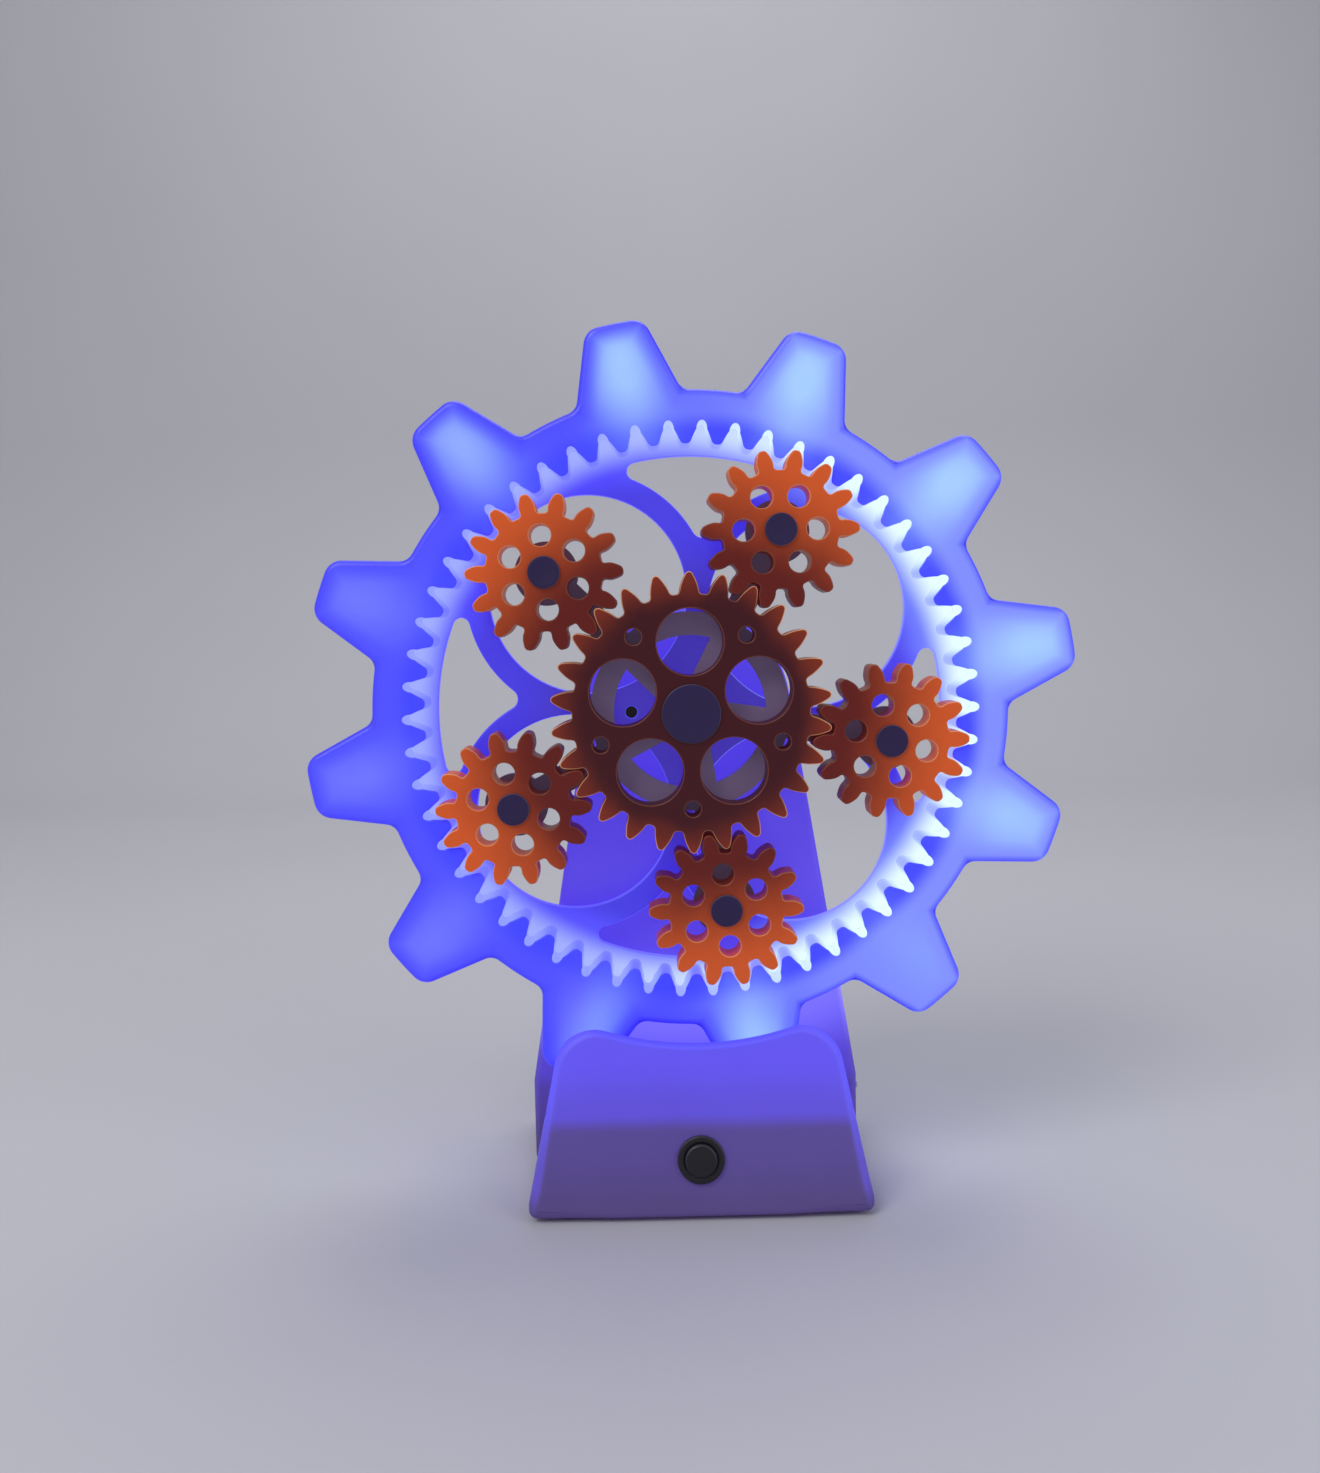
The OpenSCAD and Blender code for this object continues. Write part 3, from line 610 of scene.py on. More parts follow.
def ring_paint():
    """Translucent white plastic, lit blue from inside and brightest on the upper right."""
    paint = Paint("ring_glow", roughness=0.42, coat=0.1, emission=1.0)
    depth, along, across = lobe_depth(paint)
    radius = paint.radius()
    right = paint.step(paint.toward(84), 0.34, 0.80)
    cloud = paint.noise(55, 2.0)
    body = paint.mix(right, light(56, 50, 250), light(118, 130, 255))
    teeth = paint.mix(right, light(34, 30, 238), light(40, 40, 244))
    colour = paint.mix(paint.step(radius + cloud * 3, 70.2, 76.0), teeth, body)
    spread = ((along - 85) * (along - 85)) / 190 + (across * across) / 66
    core = paint.math("EXPONENT", spread * -1.0) * paint.step(depth, 0.6, 6.0)
    core = core * (cloud * 0.5 + 0.75)
    top = paint.step(paint.toward(45), 0.22, 0.86)
    top = paint.math("MAXIMUM", top, paint.step(paint.toward(174), 0.93, 0.99) * 0.85)
    centre = paint.mix(top, light(96, 100, 255), light(158, 198, 255))
    colour = paint.mix(core, colour, centre)
    rim = paint.mix(right, light(48, 34, 234), light(78, 84, 255))
    colour = paint.mix(paint.step(depth, 2.1, 0.5), colour, rim)
    colour = paint.mix(paint.step(depth, 0.7, 0.1), colour, light(36, 26, 206))
    walls = paint.step(paint.facing(), 0.75, 0.3)
    inner = paint.mix(right, light(132, 142, 255), light(212, 238, 255))
    crest = paint.mix(right, light(104, 110, 255), light(150, 166, 255))
    inner = paint.mix(paint.step(radius, 65.5, 70.0), crest, inner)
    outer = paint.mix(right, light(46, 34, 220), light(66, 68, 246))
    side = paint.mix(paint.step(radius, 73.5, 72.5), outer, inner)
    colour = paint.mix(walls, colour, side)
    behind = paint.step(paint.z, -14.0, -17.0)
    paint.set("Emission Color", paint.mix(behind * 0.55, colour, light(40, 34, 206)))
    paint.set("Base Color", paint.mix(cloud, light(50, 60, 120), light(66, 76, 138)))
    grain = paint.noise(900, 4.0)
    paint.set("Roughness", grain * 0.16 + 0.34)
    paint.bump(grain, 0.12, 0.0004)
    return paint.material


def plate_paint():
    """The pinwheel plate: nearly white where the ring's light reaches it, deep violet-blue inside."""
    paint = Paint("plate_glow", roughness=0.45, emission=1.0)
    radius = paint.radius()
    right = paint.step(paint.toward(96), 0.25, 0.80)
    cloud = paint.noise(48, 2.0)
    near = paint.mix(right, light(158, 170, 255), light(228, 250, 255))
    middle = paint.mix(right, light(74, 66, 250), light(110, 126, 255))
    arms = paint.mix(right, light(54, 36, 208), light(62, 48, 222))
    colour = paint.mix(paint.step(radius + cloud * 4, 56.0, 67.0), arms, middle)
    colour = paint.mix(paint.step(radius + cloud * 2, 62.5, 71.0), colour, near)
    hub = paint.mix(cloud, light(52, 34, 156), light(62, 42, 176))
    colour = paint.mix(paint.step(radius, 46.0, 24.0), colour, hub)
    walls = paint.step(paint.facing(), 0.98, 0.55)
    line = paint.mix(right, light(96, 88, 250), light(126, 130, 255))
    colour = paint.mix(walls * 0.75, colour, line)
    behind = paint.step(paint.z, -12.8, -13.5)
    paint.set("Emission Color", paint.mix(behind * 0.5, colour, light(44, 36, 200)))
    paint.set("Base Color", paint.mix(cloud, light(44, 48, 104), light(60, 62, 124)))
    grain = paint.noise(700, 4.0)
    paint.set("Roughness", grain * 0.2 + 0.34)
    paint.bump(grain, 0.12, 0.0004)
    return paint.material


def gear_paint(name, bright, dark, low, high, glow):
    """Satin orange plastic with the ring's light painted in from outside, also as a glow, and a pale painted
    highlight on its rounded edges.
    """
    paint = Paint(name, roughness=0.4, coat=0.05, emission=glow)
    paint.shader.inputs["Specular IOR Level"].default_value = 0.3
    cloud = paint.noise(70, 3.0)
    lit = paint.step(paint.lamp_radius() + (cloud - 0.5) * 9, low, high)
    colour = paint.mix(lit, dark, bright)
    facing = paint.facing()
    # Painted highlight: the rounded edges turn paler, more so where the ring's light is painted in.
    edge = paint.step(facing, 0.985, 0.7) * paint.step(facing, 0.1, 0.5) * (cloud * 0.4 + 0.5)
    pale = paint.mix(lit, light(116, 66, 46), light(238, 176, 124))
    colour = paint.mix(edge, colour, pale)
    paint.set("Base Color", colour)
    paint.set("Emission Color", colour)
    grain = paint.noise(1400, 5.0)
    paint.set("Roughness", grain * 0.22 + 0.3)
    paint.bump(grain + paint.noise(240, 2.0) * 0.5, 0.14, 0.0003)
    return paint.material


def stand_paint():
    """Matte white plastic that the ring lights violet-blue, fading towards the floor."""
    paint = Paint("stand_white", roughness=0.55, emission=1.0)
    cloud = paint.noise(22, 3.0)
    height = paint.y + (cloud - 0.5) * 5
    slot_line = paint.step(paint.y + (cloud - 0.5) * 1.6, SLOT_Y - 3.2, SLOT_Y + 1.6)
    low = paint.mix(paint.step(height, -121.0, -101.0), light(36, 12, 60), light(46, 22, 98))
    high = paint.mix(paint.step(height, -96.0, -84.0), light(62, 44, 190), light(68, 52, 218))
    colour = paint.mix(slot_line, low, high)
    face = paint.step(paint.z, COLUMN_FRONT - 6, COLUMN_FRONT - 0.5)
    column = paint.mix(face, light(58, 34, 128), light(76, 54, 206))
    on_column = paint.step(paint.z, COLUMN_FRONT + 0.6, COLUMN_FRONT - 0.4)
    foot = paint.step(height, -118.0, -70.0)
    column = paint.mix(foot, low, column)
    lit = paint.step(paint.radius(), 102.0, 82.0) * paint.step(paint.y, -62.0, -76.0)
    column = paint.mix(lit * face, column, light(138, 128, 255))
    colour = paint.mix(on_column, colour, column)
    edge = paint.step(paint.facing(), 0.965, 0.80) * paint.step(paint.z, COLUMN_FRONT, COLUMN_FRONT + 4)
    bevel = paint.mix(paint.step(height, -112.0, -88.0), light(70, 52, 176), light(76, 70, 236))
    colour = paint.mix(edge * paint.step(paint.y, FLOOR_Y, FLOOR_Y + 8) * 0.8, colour, bevel)
    tip = paint.step(paint.radius(), LIP_ARC_R + 1.5, LIP_ARC_R + 0.3) * paint.step(paint.z, 0.0, 2.0)
    colour = paint.mix(tip, colour, light(64, 60, 246))
    back = paint.step(paint.z, COLUMN_BACK + 12, COLUMN_BACK)
    colour = paint.mix(back, colour, light(30, 20, 60))
    paint.set("Emission Color", colour)
    shade = paint.mix(cloud, light(76, 68, 122), light(90, 82, 136))
    shade = paint.mix(back, shade, light(132, 126, 170))
    paint.set("Base Color", shade)
    grain = paint.noise(1000, 5.0)
    paint.set("Roughness", grain * 0.2 + 0.44)
    paint.bump(grain + paint.noise(160, 2.0), 0.10, 0.0005)
    return paint.material


def plain_paint(name, first, second, rough, metallic=0.0, scale=120, grain=1200, coat=0.0, glow=0.0):
    """A finish with patchy colour, uneven gloss, fine grain and a painted highlight on its rounded edges."""
    paint = Paint(name, roughness=rough, metallic=metallic, coat=coat, emission=glow)
    cloud = paint.noise(scale, 4.0)
    # Painted highlight: the rounded edges turn paler, in patches.
    edge = paint.step(paint.facing(), 0.97, 0.6)
    painted_edge_highlight = paint.mix(0.35, second, light(230, 230, 236))
    colour = paint.mix(cloud, first, second)
    colour = paint.mix(edge * cloud * 0.3, colour, painted_edge_highlight)
    paint.set("Base Color", colour)
    if glow:
        paint.set("Emission Color", colour)
    fine = paint.noise(grain, 5.0)
    paint.set("Roughness", fine * 0.25 + (rough - 0.12))
    paint.bump(fine, 0.12, 0.0003)
    return paint.material


def brushed_paint(name, first, second, stretch):
    """Metal with fine parallel scratches."""
    paint = Paint(name, roughness=0.35, metallic=1.0)
    lines = paint.noise(700, 4.0, stretch)
    patch = paint.noise(90, 3.0)
    paint.set("Base Color", paint.mix(lines * 0.6 + patch * 0.4, first, second))
    paint.set("Roughness", lines * 0.25 + 0.22)
    paint.bump(lines, 0.15, 0.0002)
    return paint.material


def coat_with(piece, material):
    piece.data.materials.clear()
    piece.data.materials.append(material)


def fit(piece, body, slot, material, *nodes):
    """Finishes a piece: its material, its body and the CAD nodes that it stands for."""
    coat_with(piece, material)
    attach(piece, body)
    if nodes:
        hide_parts(*nodes)
    return piece


# ---- Pieces ----

def make_ring(material):
    """The lobed ring in front, with its teeth, the seat of the plate and the outer wall."""
    solid = Solid("ring_front")
    outer = wound(ring_outline())
    gap_first = TOOTH_TURN + 180 / RING_TEETH
    bore = wound(toothed(gap_side(), RING_TEETH, gap_first), False)
    seat = wound(circle((0, 0), PLATE_R + 0.1, 180), False)
    face_round, teeth_round = 1.5, 0.45
    seat_front, seat_back = PLATE_FRONT + 0.02, RING_SEAM + 0.05
    pairs = quarter(face_round, 6, RING_FRONT, -1) + [(0, RING_SEAM + 0.35), (0.3, seat_back)]
    outside = [solid.ring([(x, y, z) for x, y in inset_loop(outer, i)]) for i, z in pairs]
    pairs = quarter(teeth_round, 4, RING_FRONT, -1) + [(0, PLATE_FRONT + 0.4), (0, seat_front)]
    teeth = [solid.ring([(x, y, z) for x, y in inset_loop(bore, i)]) for i, z in pairs]
    step = [solid.ring([(x, y, z) for x, y in seat]) for z in (seat_front, seat_back)]
    for rings in (outside, teeth, step):
        solid.wall(rings)
    solid.cap([outside[0], teeth[0]])
    solid.cap([step[0], teeth[-1]])
    solid.cap([outside[-1], step[-1]])
    fit(weighted(solid.finish()), "stand", "ring_glow", material, "ring_shell")


def make_ring_cover(material):
    """The cover behind the ring's face, and the rim that holds the plate to it."""
    hole = circle((0, 0), RING_HOLE_R, 180)
    piece = slab("ring_cover", ring_outline(), [hole], RING_SEAM, RING_BACK, 0.3, 1.0, 0.5)
    fit(piece, "stand", "ring_glow", material, "ring_back")
    edge = circle((0, 0), PLATE_R, 180)
    rim = slab("ring_cover_rim", edge, [hole], PLATE_BACK, RING_SEAM + 0.02, 0.2)
    fit(rim, "stand", "ring_glow", material)


def make_plate(material):
    holes = [circle(at(HOLE_RING, RING_TURN + 45 + 90 * k), HOLE_R, 96) for k in range(4)]
    holes += [window_outline(RING_TURN + 90 * k) for k in range(4)]
    holes += [circle((0, 0), HUB_HOLE_R, 40), circle(LEAD_HOLE, LEAD_HOLE_R, 24)]
    piece = slab("pinwheel", circle((0, 0), PLATE_R, 180), holes, PLATE_FRONT, PLATE_BACK, 0.5)
    fit(piece, "stand", "plate_glow", material, "pinwheel_plate")


def make_sun():
    outline = toothed(tooth_side(SUN_TEETH, SUN_ROOT_R, SUN_TIP_R), SUN_TEETH, 0)
    holes = [circle(at(SUN_HOLE_RING, 72 * k), SUN_HOLE_R, 56) for k in range(5)]
    holes += [circle(at(SUN_DOT_RING, 36 + 72 * k), SUN_DOT_R, 28) for k in range(5)]
    holes += [circle((0, 0), SUN_BORE_R, 40)]
    piece = slab("sun_wheel", outline, holes, 0, -GEAR_T, GEAR_EDGE)
    material = gear_paint("sun_orange", light(112, 38, 18), light(52, 8, 16), 26.0, 37.0, 0.5)
    fit(piece, "sun", "gear_orange", material, "sun_gear")


def planet_turn(k, clock):
    """The turn that puts planet k in mesh with the sun and the ring."""
    mesh = (180 + SUN_TEETH * clock) / PLANET_TEETH
    return clock + 180 + mesh + START_TEETH[k] * 360 / PLANET_TEETH


def make_planet(k):
    clock = CARRIER_TURN + 72 * k
    centre = at(GEAR_REACH, clock)
    turn = planet_turn(k, clock)
    side = tooth_side(PLANET_TEETH, PLANET_ROOT_R, PLANET_TIP_R)
    outline = turned(toothed(side, PLANET_TEETH, 0), turn, centre)
    ring = [circle(at(PLANET_HOLE_RING, 60 * h), PLANET_HOLE_R, 32) for h in range(6)]
    holes = [turned(hole, turn, centre) for hole in ring]
    holes += [circle(centre, PLANET_BORE_R, 32)]
    piece = slab(f"planet_wheel_{k + 1}", outline, holes, 0, -GEAR_T, GEAR_EDGE)
    name = f"planet_orange_{k + 1}"
    material = gear_paint(name, light(212, 88, 34), light(94, 22, 16), 38.0, 68.0, 0.22)
    fit(piece, f"planet_{k + 1}", "gear_orange", material, f"planet_gear_{k + 1}")


def cap_profile(radius, top, bottom):
    """A round cap with a soft edge and a shallow dish."""
    dish = [(0, top - 0.18), (radius * 0.55, top - 0.16), (radius * 0.72, top - 0.04)]
    edge = rounded_end(radius, top, 0.3)[2:]
    return dish + edge + [(radius, bottom + 0.1), (radius - 0.1, bottom), (0, bottom)]


def make_caps(material):
    piece = lathe("sun_disc", [(0, 0)], cap_profile(SUN_CAP_R, 0.9, 0.0), 72)
    fit(piece, "sun", "cap_navy", material, "sun_cap")
    centres = [at(GEAR_REACH, CARRIER_TURN + 72 * k) for k in range(PLANETS)]
    piece = lathe("planet_discs", centres, cap_profile(PLANET_CAP_R, 0.95, 0.15), 48)
    fit(piece, "carrier", "cap_navy", material, "planet_caps")


def lip_face(y):
    """Depth of the lip's leaning front face at a height."""
    return LIP_REACH + (-LIP_ARC_R - y) * math.tan(LEAN)


def edge_width(x, y):
    """The lip's edge is soft at the sides, widest half way down, and finer along the top."""
    side = min(1.0, max(0.0, (abs(x) - 22) / 10))
    low = min(1.0, max(0.0, (-84 - y) / 26))
    floor = min(1.0, max(0.0, (y - FLOOR_Y) / 7))
    return 1.25 + side * (1.05 + 1.4 * low * floor)


def rounded_bottom(outline, radius):
    """An outline whose two bottom corners are rounded."""
    low = min(y for _, y in outline)
    kept = [p for p in outline if p[1] > low + radius]
    right, left = kept[0], kept[-1]
    corner_r = arc((right[0] - radius, low + radius), radius, -90, 0, 6)
    corner_l = arc((left[0] + radius, low + radius), radius, 180, 270, 6)
    bottom = [(left[0] + (right[0] - left[0]) * i / 12, low) for i in range(2, 11)]
    return corner_r + kept + corner_l + bottom


def make_base(material):
    """The base block and the lip in front of the slot, as one piece with a leaning face."""
    solid = Solid("stand_front")
    outline = wound(rounded_bottom(lip_outline(FLOOR_Y), 2.0))
    widths = [edge_width(x, y) for x, y in outline]
    rings = []
    steps = 6
    for i in range(steps + 1):
        turn = math.radians(90 * i / steps)
        moved = inset_loop(outline, [w * (1 - math.sin(turn)) for w in widths])
        ring = []
        for (x, y), w in zip(moved, widths):
            ring.append((x, y, lip_face(y) - w * (1 - math.cos(turn))))
        rings.append(solid.ring(ring))
    solid.cap([rings[0]])
    thick = WALL / math.cos(LEAN)
    behind = 0.5
    back = COLUMN_FRONT + 0.01
    deep = [(x, y, back + 0.01 if y <= SLOT_Y else lip_face(y) - thick + behind) for x, y in outline]
    rings.append(solid.ring(deep))
    rear = inset_loop(outline, [0.0 if y <= SLOT_Y else behind for _, y in outline])
    rings.append(solid.ring([(x, y, back if y <= SLOT_Y else lip_face(y) - thick) for x, y in rear]))
    solid.wall(rings)
    last = rings[-1]
    high = [i for i in last if solid.points[i].y > SLOT_Y]
    solid.cap([high])
    close_slot(solid, last, high[0])
    fit(weighted(solid.finish()), "stand", "stand_white", material, "stand_shell")


def close_slot(solid, last, first_high):
    """The slot's floor and the back of the base block."""
    start = last.index(first_high)
    order = last[start:] + last[:start]
    while solid.points[order[-1]].y > SLOT_Y:
        order = order[-1:] + order[:-1]
    first_low = next(i for i, v in enumerate(order) if solid.points[v].y <= SLOT_Y)
    solid.faces.append((order[first_low - 1], order[first_low], order[-1], order[0]))
    solid.cap([order[first_low:]])


def make_column(material):
    """The column: rounded front edge, plain sides, and a rebate behind for the cover."""
    solid = Solid("stand_column")
    outline = wound(rounded_bottom(column_outline(), 2.0))
    pairs = quarter(1.6, 6, COLUMN_FRONT, -1)
    pairs += list(reversed(quarter(1.0, 4, COLUMN_BACK, 1)))
    pairs += [(WALL - 0.1, COLUMN_BACK), (WALL, COLUMN_BACK + 0.1), (WALL, COLUMN_BACK + WALL)]
    rings = [solid.ring([(x, y, z) for x, y in inset_loop(outline, i)]) for i, z in pairs]
    solid.wall(rings)
    solid.cap([rings[0]])
    solid.cap([rings[-1]])
    fit(weighted(solid.finish()), "stand", "stand_white", material, "stand_shell")


def make_rear_cover(material):
    outline = wound(rounded_bottom(column_outline(WALL + 0.15, FLOOR_Y + WALL + 0.2), 2.0))
    holes = [circle(p, SCREW_HEAD_R + 0.2, 32) for p in SCREW_PLACES]
    holes += [stadium(INLET, 9.3, 3.6)]
    piece = slab("rear_cover", outline, holes, COLUMN_BACK + WALL, COLUMN_BACK, 0.3, 0.45, 0.3)
    fit(piece, "stand", "stand_white", material, "back_cover")


def stadium(centre, width, height, steps=10):
    """An outline with straight top and bottom and round ends."""
    radius = height / 2
    half = width / 2 - radius
    right = arc((centre[0] + half, centre[1]), radius, -90, 90, steps)
    left = arc((centre[0] - half, centre[1]), radius, 90, 270, steps)
    return right + left


def make_screws(material):
    """The back cover's screws: heads with a hexagon socket, each with its shank."""
    solid = Solid("cover_screw_set")
    top = COLUMN_BACK + 0.15
    profile = [(0.35, 0), (0.1, 0.1), (0, 0.35), (0, 1.2), (1.1, 1.2), (1.1, 8.0)]
    for centre in SCREW_PLACES:
        head = wound(circle(centre, SCREW_HEAD_R, 36))
        rings = [solid.ring([(x, y, top + z) for x, y in inset_loop(head, i)]) for i, z in profile]
        solid.wall(rings)
        hexagon = wound(circle(centre, 1.25, 6), False)
        socket = [solid.ring([(x, y, top + z) for x, y in hexagon]) for z in (0, 0.8)]
        solid.wall(socket)
        solid.cap([rings[0], socket[0]])
        solid.cap([socket[1]])
        solid.cap([rings[-1]])
    fit(weighted(solid.finish()), "stand", "zinc", material, "cover_screws")


def make_inlet(steel, black):
    """The metal shell of the charging inlet, open at the back, with its tongue."""
    front = COLUMN_BACK + INLET_DEEP
    hole = stadium(INLET, 8.3, 2.6)
    shell = slab("inlet_shell", stadium(INLET, 8.9, 3.2), [hole], front, COLUMN_BACK, 0.12)
    fit(shell, "stand", "steel", steel, "usb_inlet")
    tongue = slab("inlet_tongue", stadium(INLET, 6.7, 0.7), [], front, COLUMN_BACK + 0.7, 0.15)
    fit(tongue, "stand", "black_plastic", black)


def on_lip():
    """Places a piece on the lip's leaning face at the button, with its z outwards."""
    reach = lip_face(BUTTON_Y)
    return Matrix.Translation((0, BUTTON_Y, reach)) @ Matrix.Rotation(-LEAN, 4, "X")


def make_button(material):
    """The push button's bezel with its sleeve, and its dished top."""
    outer_r, edge, brim = 5.75, 0.45, 0.75
    sleeve_r, hole_r, deep = 4.95, 3.95, -8.0
    bezel = [(hole_r, -4.9), (hole_r, 0.75), (4.1, 1.0), (4.45, 1.18), (4.9, 1.2)]
    for i in range(1, 6):
        turn = math.radians(18 * i)
        bezel.append((outer_r - edge + edge * math.sin(turn), brim + edge * math.cos(turn)))
    bezel += [(outer_r, 0.02), (sleeve_r, 0.02), (sleeve_r, deep), (hole_r, deep)]
    piece = lathe("button_bezel", [(0, 0)], bezel + bezel[:1], 64, on_lip())
    fit(piece, "stand", "black_plastic", material, "button_housing")
    top = [(0, 1.98), (1.8, 2.0), (2.9, 2.1), (3.3, 2.16), (3.6, 2.1), (3.82, 1.9), (3.9, 1.6)]
    top += [(3.9, -3.5), (0, -3.5)]
    piece = lathe("button_top", [(0, 0)], top, 64, on_lip())
    fit(piece, "button", "black_plastic", material, "button_cap")


def make_feet(material):
    """Rubber feet with a rounded rim, standing on the floor."""
    upright = Matrix.Translation((0, -AXIS_H, 0)) @ Matrix.Rotation(math.radians(-90), 4, "X")
    centres = [(x, -z) for x, z in FOOT_PLACES]
    profile = [(0, 0.0), (3.0, 0.0), (3.6, 0.06), (4.3, 0.0), (4.75, 0.12), (5.0, 0.45)]
    profile += [(5.0, 1.9), (0, 1.9)]
    piece = lathe("foot_pads", centres, profile, 40, upright)
    fit(piece, "stand", "rubber_grey", material, "rubber_feet")


def make_switch(material):
    """The slide switch's lever, a soft square with a grip groove near its tip."""
    low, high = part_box("switch_slider")
    solid = Solid("switch_lever")
    root, tip = low.x / MM, high.x / MM
    z_mid = (AXIS.y - (low.y + high.y) / 2) / MM
    y_mid = ((low.z + high.z) / 2 - AXIS.z) / MM
    half_z, half_y = (high.y - low.y) / 2 / MM, (high.z - low.z) / 2 / MM
    sections = [(root, 1.0), (tip - 0.9, 1.0), (tip - 0.75, 0.78), (tip - 0.6, 1.0)]
    sections += [(tip - 0.3, 1.0), (tip - 0.1, 0.86), (tip, 0.6)]
    rings = []
    for x, share in sections:
        ring = []
        for i in range(24):
            turn = math.tau * i / 24
            c, s = math.cos(turn), math.sin(turn)
            reach = share * 0.99 * min(1 / max(abs(c), abs(s)) ** 0.75, 1.18)
            y, z = half_y * c * reach, half_z * s * reach
            ring.append((x, y_mid + max(-half_y, min(half_y, y)), z_mid + max(-half_z, min(half_z, z))))
        rings.append(solid.ring(ring))
    solid.wall(rings)
    solid.faces.append(tuple(rings[0]))
    solid.faces.append(tuple(reversed(rings[-1])))
    fit(weighted(solid.finish()), "switch", "strip_white", material, "switch_slider")


# ---- Scene ----

def make_camera():
    """A phone-like camera a little above the axis, just left of it and turned down."""
    data = bpy.data.cameras.new("camera")
    data.sensor_width = 36
    data.lens = 32.3
    data.clip_start = 0.01
    data.clip_end = 20
    camera = bpy.data.objects.new("camera", data)
    bpy.context.scene.collection.objects.link(camera)
    turn_z = Matrix.Rotation(math.radians(-CAMERA_YAW), 3, "Z")
    turn_x = Matrix.Rotation(math.radians(-CAMERA_PITCH), 3, "X")
    turn_y = Matrix.Rotation(math.radians(CAMERA_ROLL), 3, "Y")
    rows = turn_y @ turn_x @ turn_z
    axes = Matrix((rows[0], rows[2], -rows[1])).transposed()
    spot = Vector((0, AXIS.y, AXIS.z)) + Vector(CAMERA_FROM_AXIS)
    camera.matrix_world = Matrix.Translation(spot) @ axes.to_4x4()
    bpy.context.scene.camera = camera


def make_light(name, spot, aim, size, power, colour):
    data = bpy.data.lights.new(name, "AREA")
    data.shape = "DISK"
    data.size = size
    data.energy = power
    data.color = colour
    lamp = bpy.data.objects.new(name, data)
    lamp.location = spot
    direction = Vector(aim) - Vector(spot)
    lamp.rotation_euler = direction.to_track_quat("-Z", "Y").to_euler()
    bpy.context.scene.collection.objects.link(lamp)


def make_stage():
    """A pale floor that curves up into a pale wall."""
    depth, bend, height, half = 0.75, 0.35, 2.2, 3.0
    profile = [(-2.0, 0.0), (-0.6, 0.0), (0.2, 0.0), (depth, 0.0)]
    for i in range(1, 17):
        turn = math.radians(90 * i / 16)
        profile.append((depth + bend * math.sin(turn), bend * (1 - math.cos(turn))))
    profile.append((depth + bend, height))
    points = [(x, y, z) for y, z in profile for x in (-half, half)]
    faces = [(2 * i, 2 * i + 1, 2 * i + 3, 2 * i + 2) for i in range(len(profile) - 1)]
    mesh = bpy.data.meshes.new("floor")
    mesh.from_pydata(points, [], faces)
    for face in mesh.polygons:
        face.use_smooth = True
    floor = bpy.data.objects.new("floor", mesh)
    bpy.context.scene.collection.objects.link(floor)
    paint = Paint("floor_pale", roughness=0.75)
    cloud = paint.noise(3, 3.0)
    paint.set("Base Color", paint.mix(cloud, light(196, 196, 202), light(206, 206, 211)))
    coat_with(floor, paint.material)
    world = bpy.data.worlds.new("studio")
    world.use_nodes = True
    world.node_tree.nodes["Background"].inputs["Color"].default_value = (0.80, 0.82, 0.90, 1)
    world.node_tree.nodes["Background"].inputs["Strength"].default_value = 0.32
    bpy.context.scene.world = world
    make_light("key", (-0.7, -0.9, 1.1), (0, 0, 0.1), 0.9, 9.0, (1.0, 0.98, 0.96))
    make_light("fill", (0.9, -0.8, 0.6), (0, 0, 0.1), 0.9, 3.0, (0.93, 0.95, 1.0))
    make_light("top", (0.1, 0.5, 1.3), (0, 0.1, 0.1), 1.0, 6.0, (0.97, 0.98, 1.0))


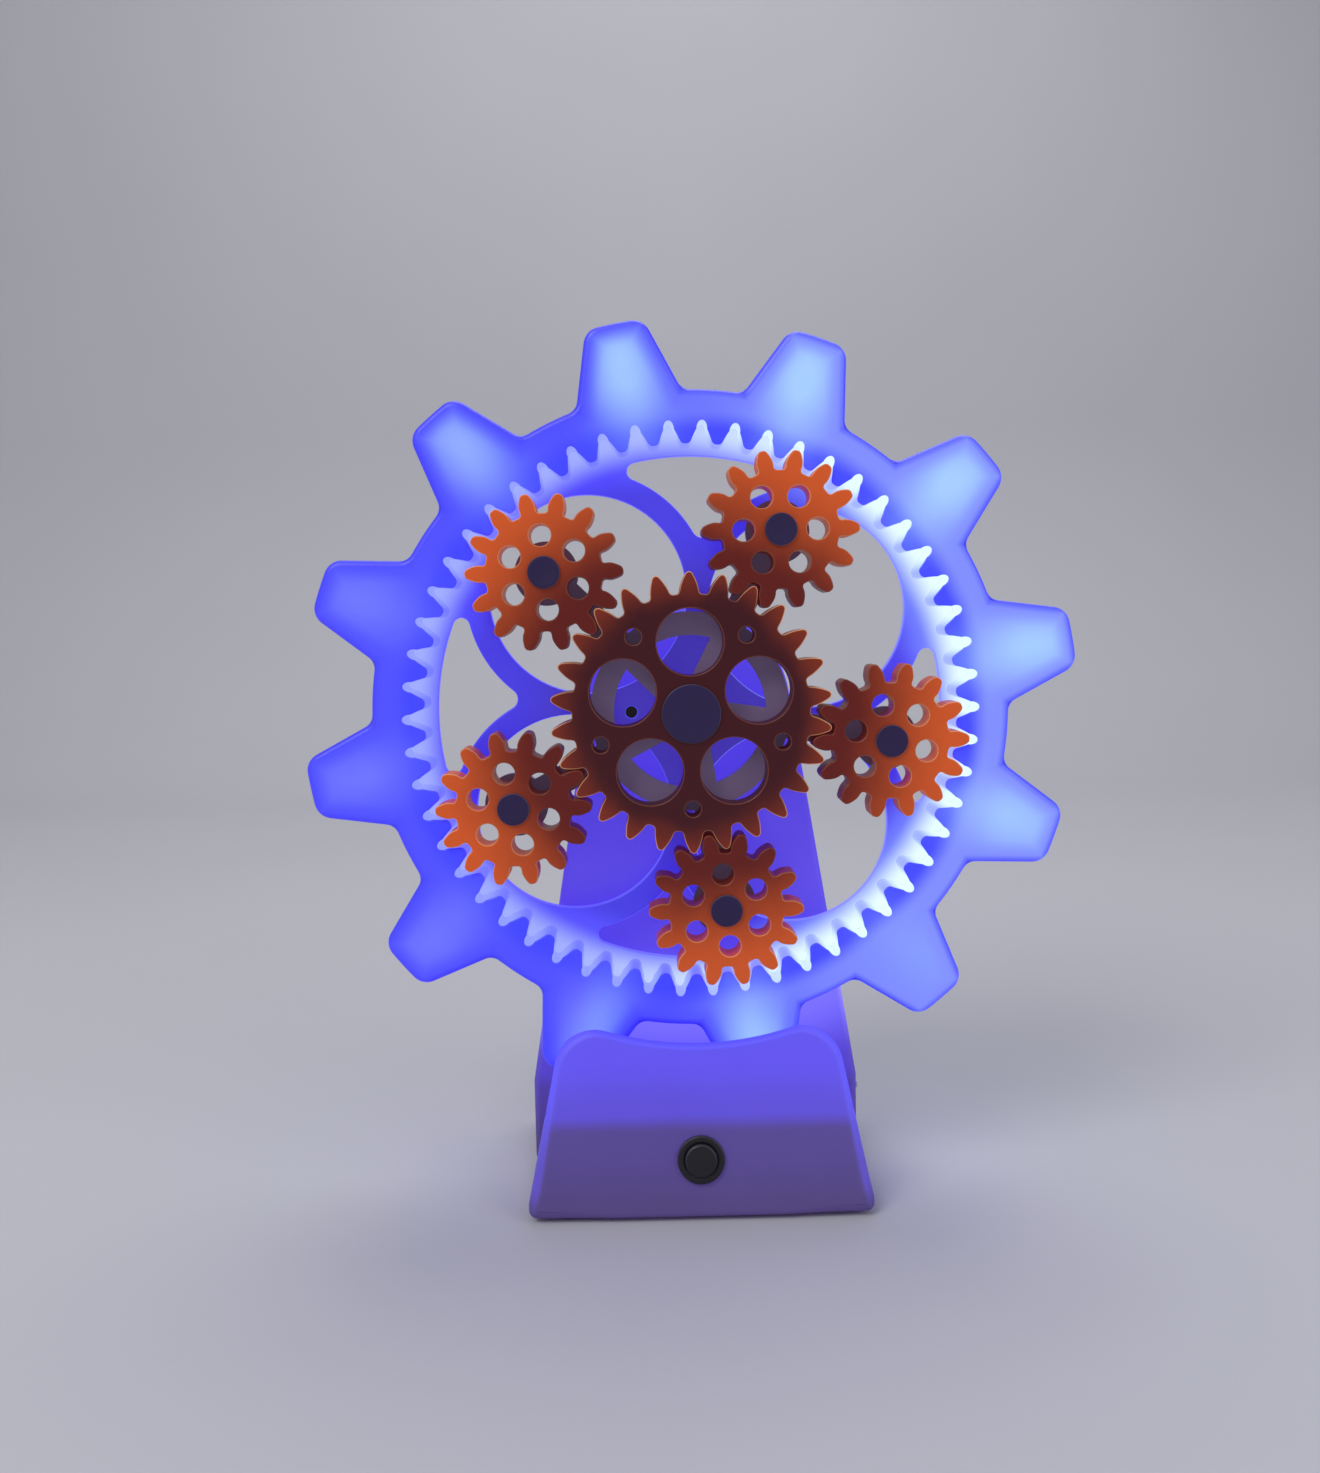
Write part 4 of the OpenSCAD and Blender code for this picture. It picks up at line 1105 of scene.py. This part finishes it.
FINISHES = {
    # The white carrier is painted greyish mauve as painted shade behind the gears, with a faint painted glow of
    # the ring's light.
    "carrier_white": plain_paint("carrier_white", light(118, 98, 140), light(140, 118, 158), 0.5, glow=0.12),
    "black_plastic": plain_paint("black_plastic", light(8, 6, 14), light(20, 17, 28), 0.4),
    "bronze": plain_paint("bronze", light(150, 104, 52), light(184, 138, 78), 0.4, metallic=1.0, scale=260),
    "steel": brushed_paint("steel", light(140, 140, 146), light(188, 188, 194), (1, 14, 1)),
    "zinc": brushed_paint("zinc", light(166, 168, 176), light(206, 208, 216), (12, 1, 1)),
    "rubber_grey": plain_paint("rubber_grey", light(38, 38, 42), light(58, 58, 62), 0.8),
    "board_green": plain_paint("board_green", light(14, 74, 40), light(24, 96, 54), 0.3, coat=0.4),
    "strip_white": plain_paint("strip_white", light(208, 208, 220), light(226, 226, 236), 0.5),
    "chip_light": plain_paint("chip_light", light(150, 180, 255), light(210, 226, 255), 0.3, glow=2.0),
    "wire_red": plain_paint("wire_red", light(140, 26, 22), light(176, 40, 34), 0.45),
    "wire_white": plain_paint("wire_white", light(190, 190, 210), light(214, 214, 230), 0.45),
    # The caps' faint glow is painted light from the ring.
    "cap_navy": plain_paint("cap_navy", light(18, 4, 48), light(30, 8, 66), 0.5, glow=0.3),
    "stand_white": stand_paint(),
    "ring_glow": ring_paint(),
    "plate_glow": plate_paint(),
}


def finish_kept_nodes():
    """Every CAD node that stays gets the material of its slot."""
    slots = {part["node"]: part["material_slot"] for part in frame["record"]["subparts"]}
    for name, piece in frame["nodes"].items():
        if slots[name] in FINISHES:
            coat_with(piece, FINISHES[slots[name]])


make_camera()
finish_kept_nodes()
make_ring(FINISHES["ring_glow"])
make_ring_cover(FINISHES["ring_glow"])
make_plate(FINISHES["plate_glow"])
make_sun()
for planet in range(PLANETS):
    make_planet(planet)
make_caps(FINISHES["cap_navy"])
make_base(FINISHES["stand_white"])
make_column(FINISHES["stand_white"])
make_rear_cover(FINISHES["stand_white"])
make_screws(FINISHES["zinc"])
make_inlet(FINISHES["steel"], FINISHES["black_plastic"])
make_button(FINISHES["black_plastic"])
make_feet(FINISHES["rubber_grey"])
make_switch(FINISHES["strip_white"])
make_stage()
bpy.context.scene.view_settings.view_transform = "Standard"
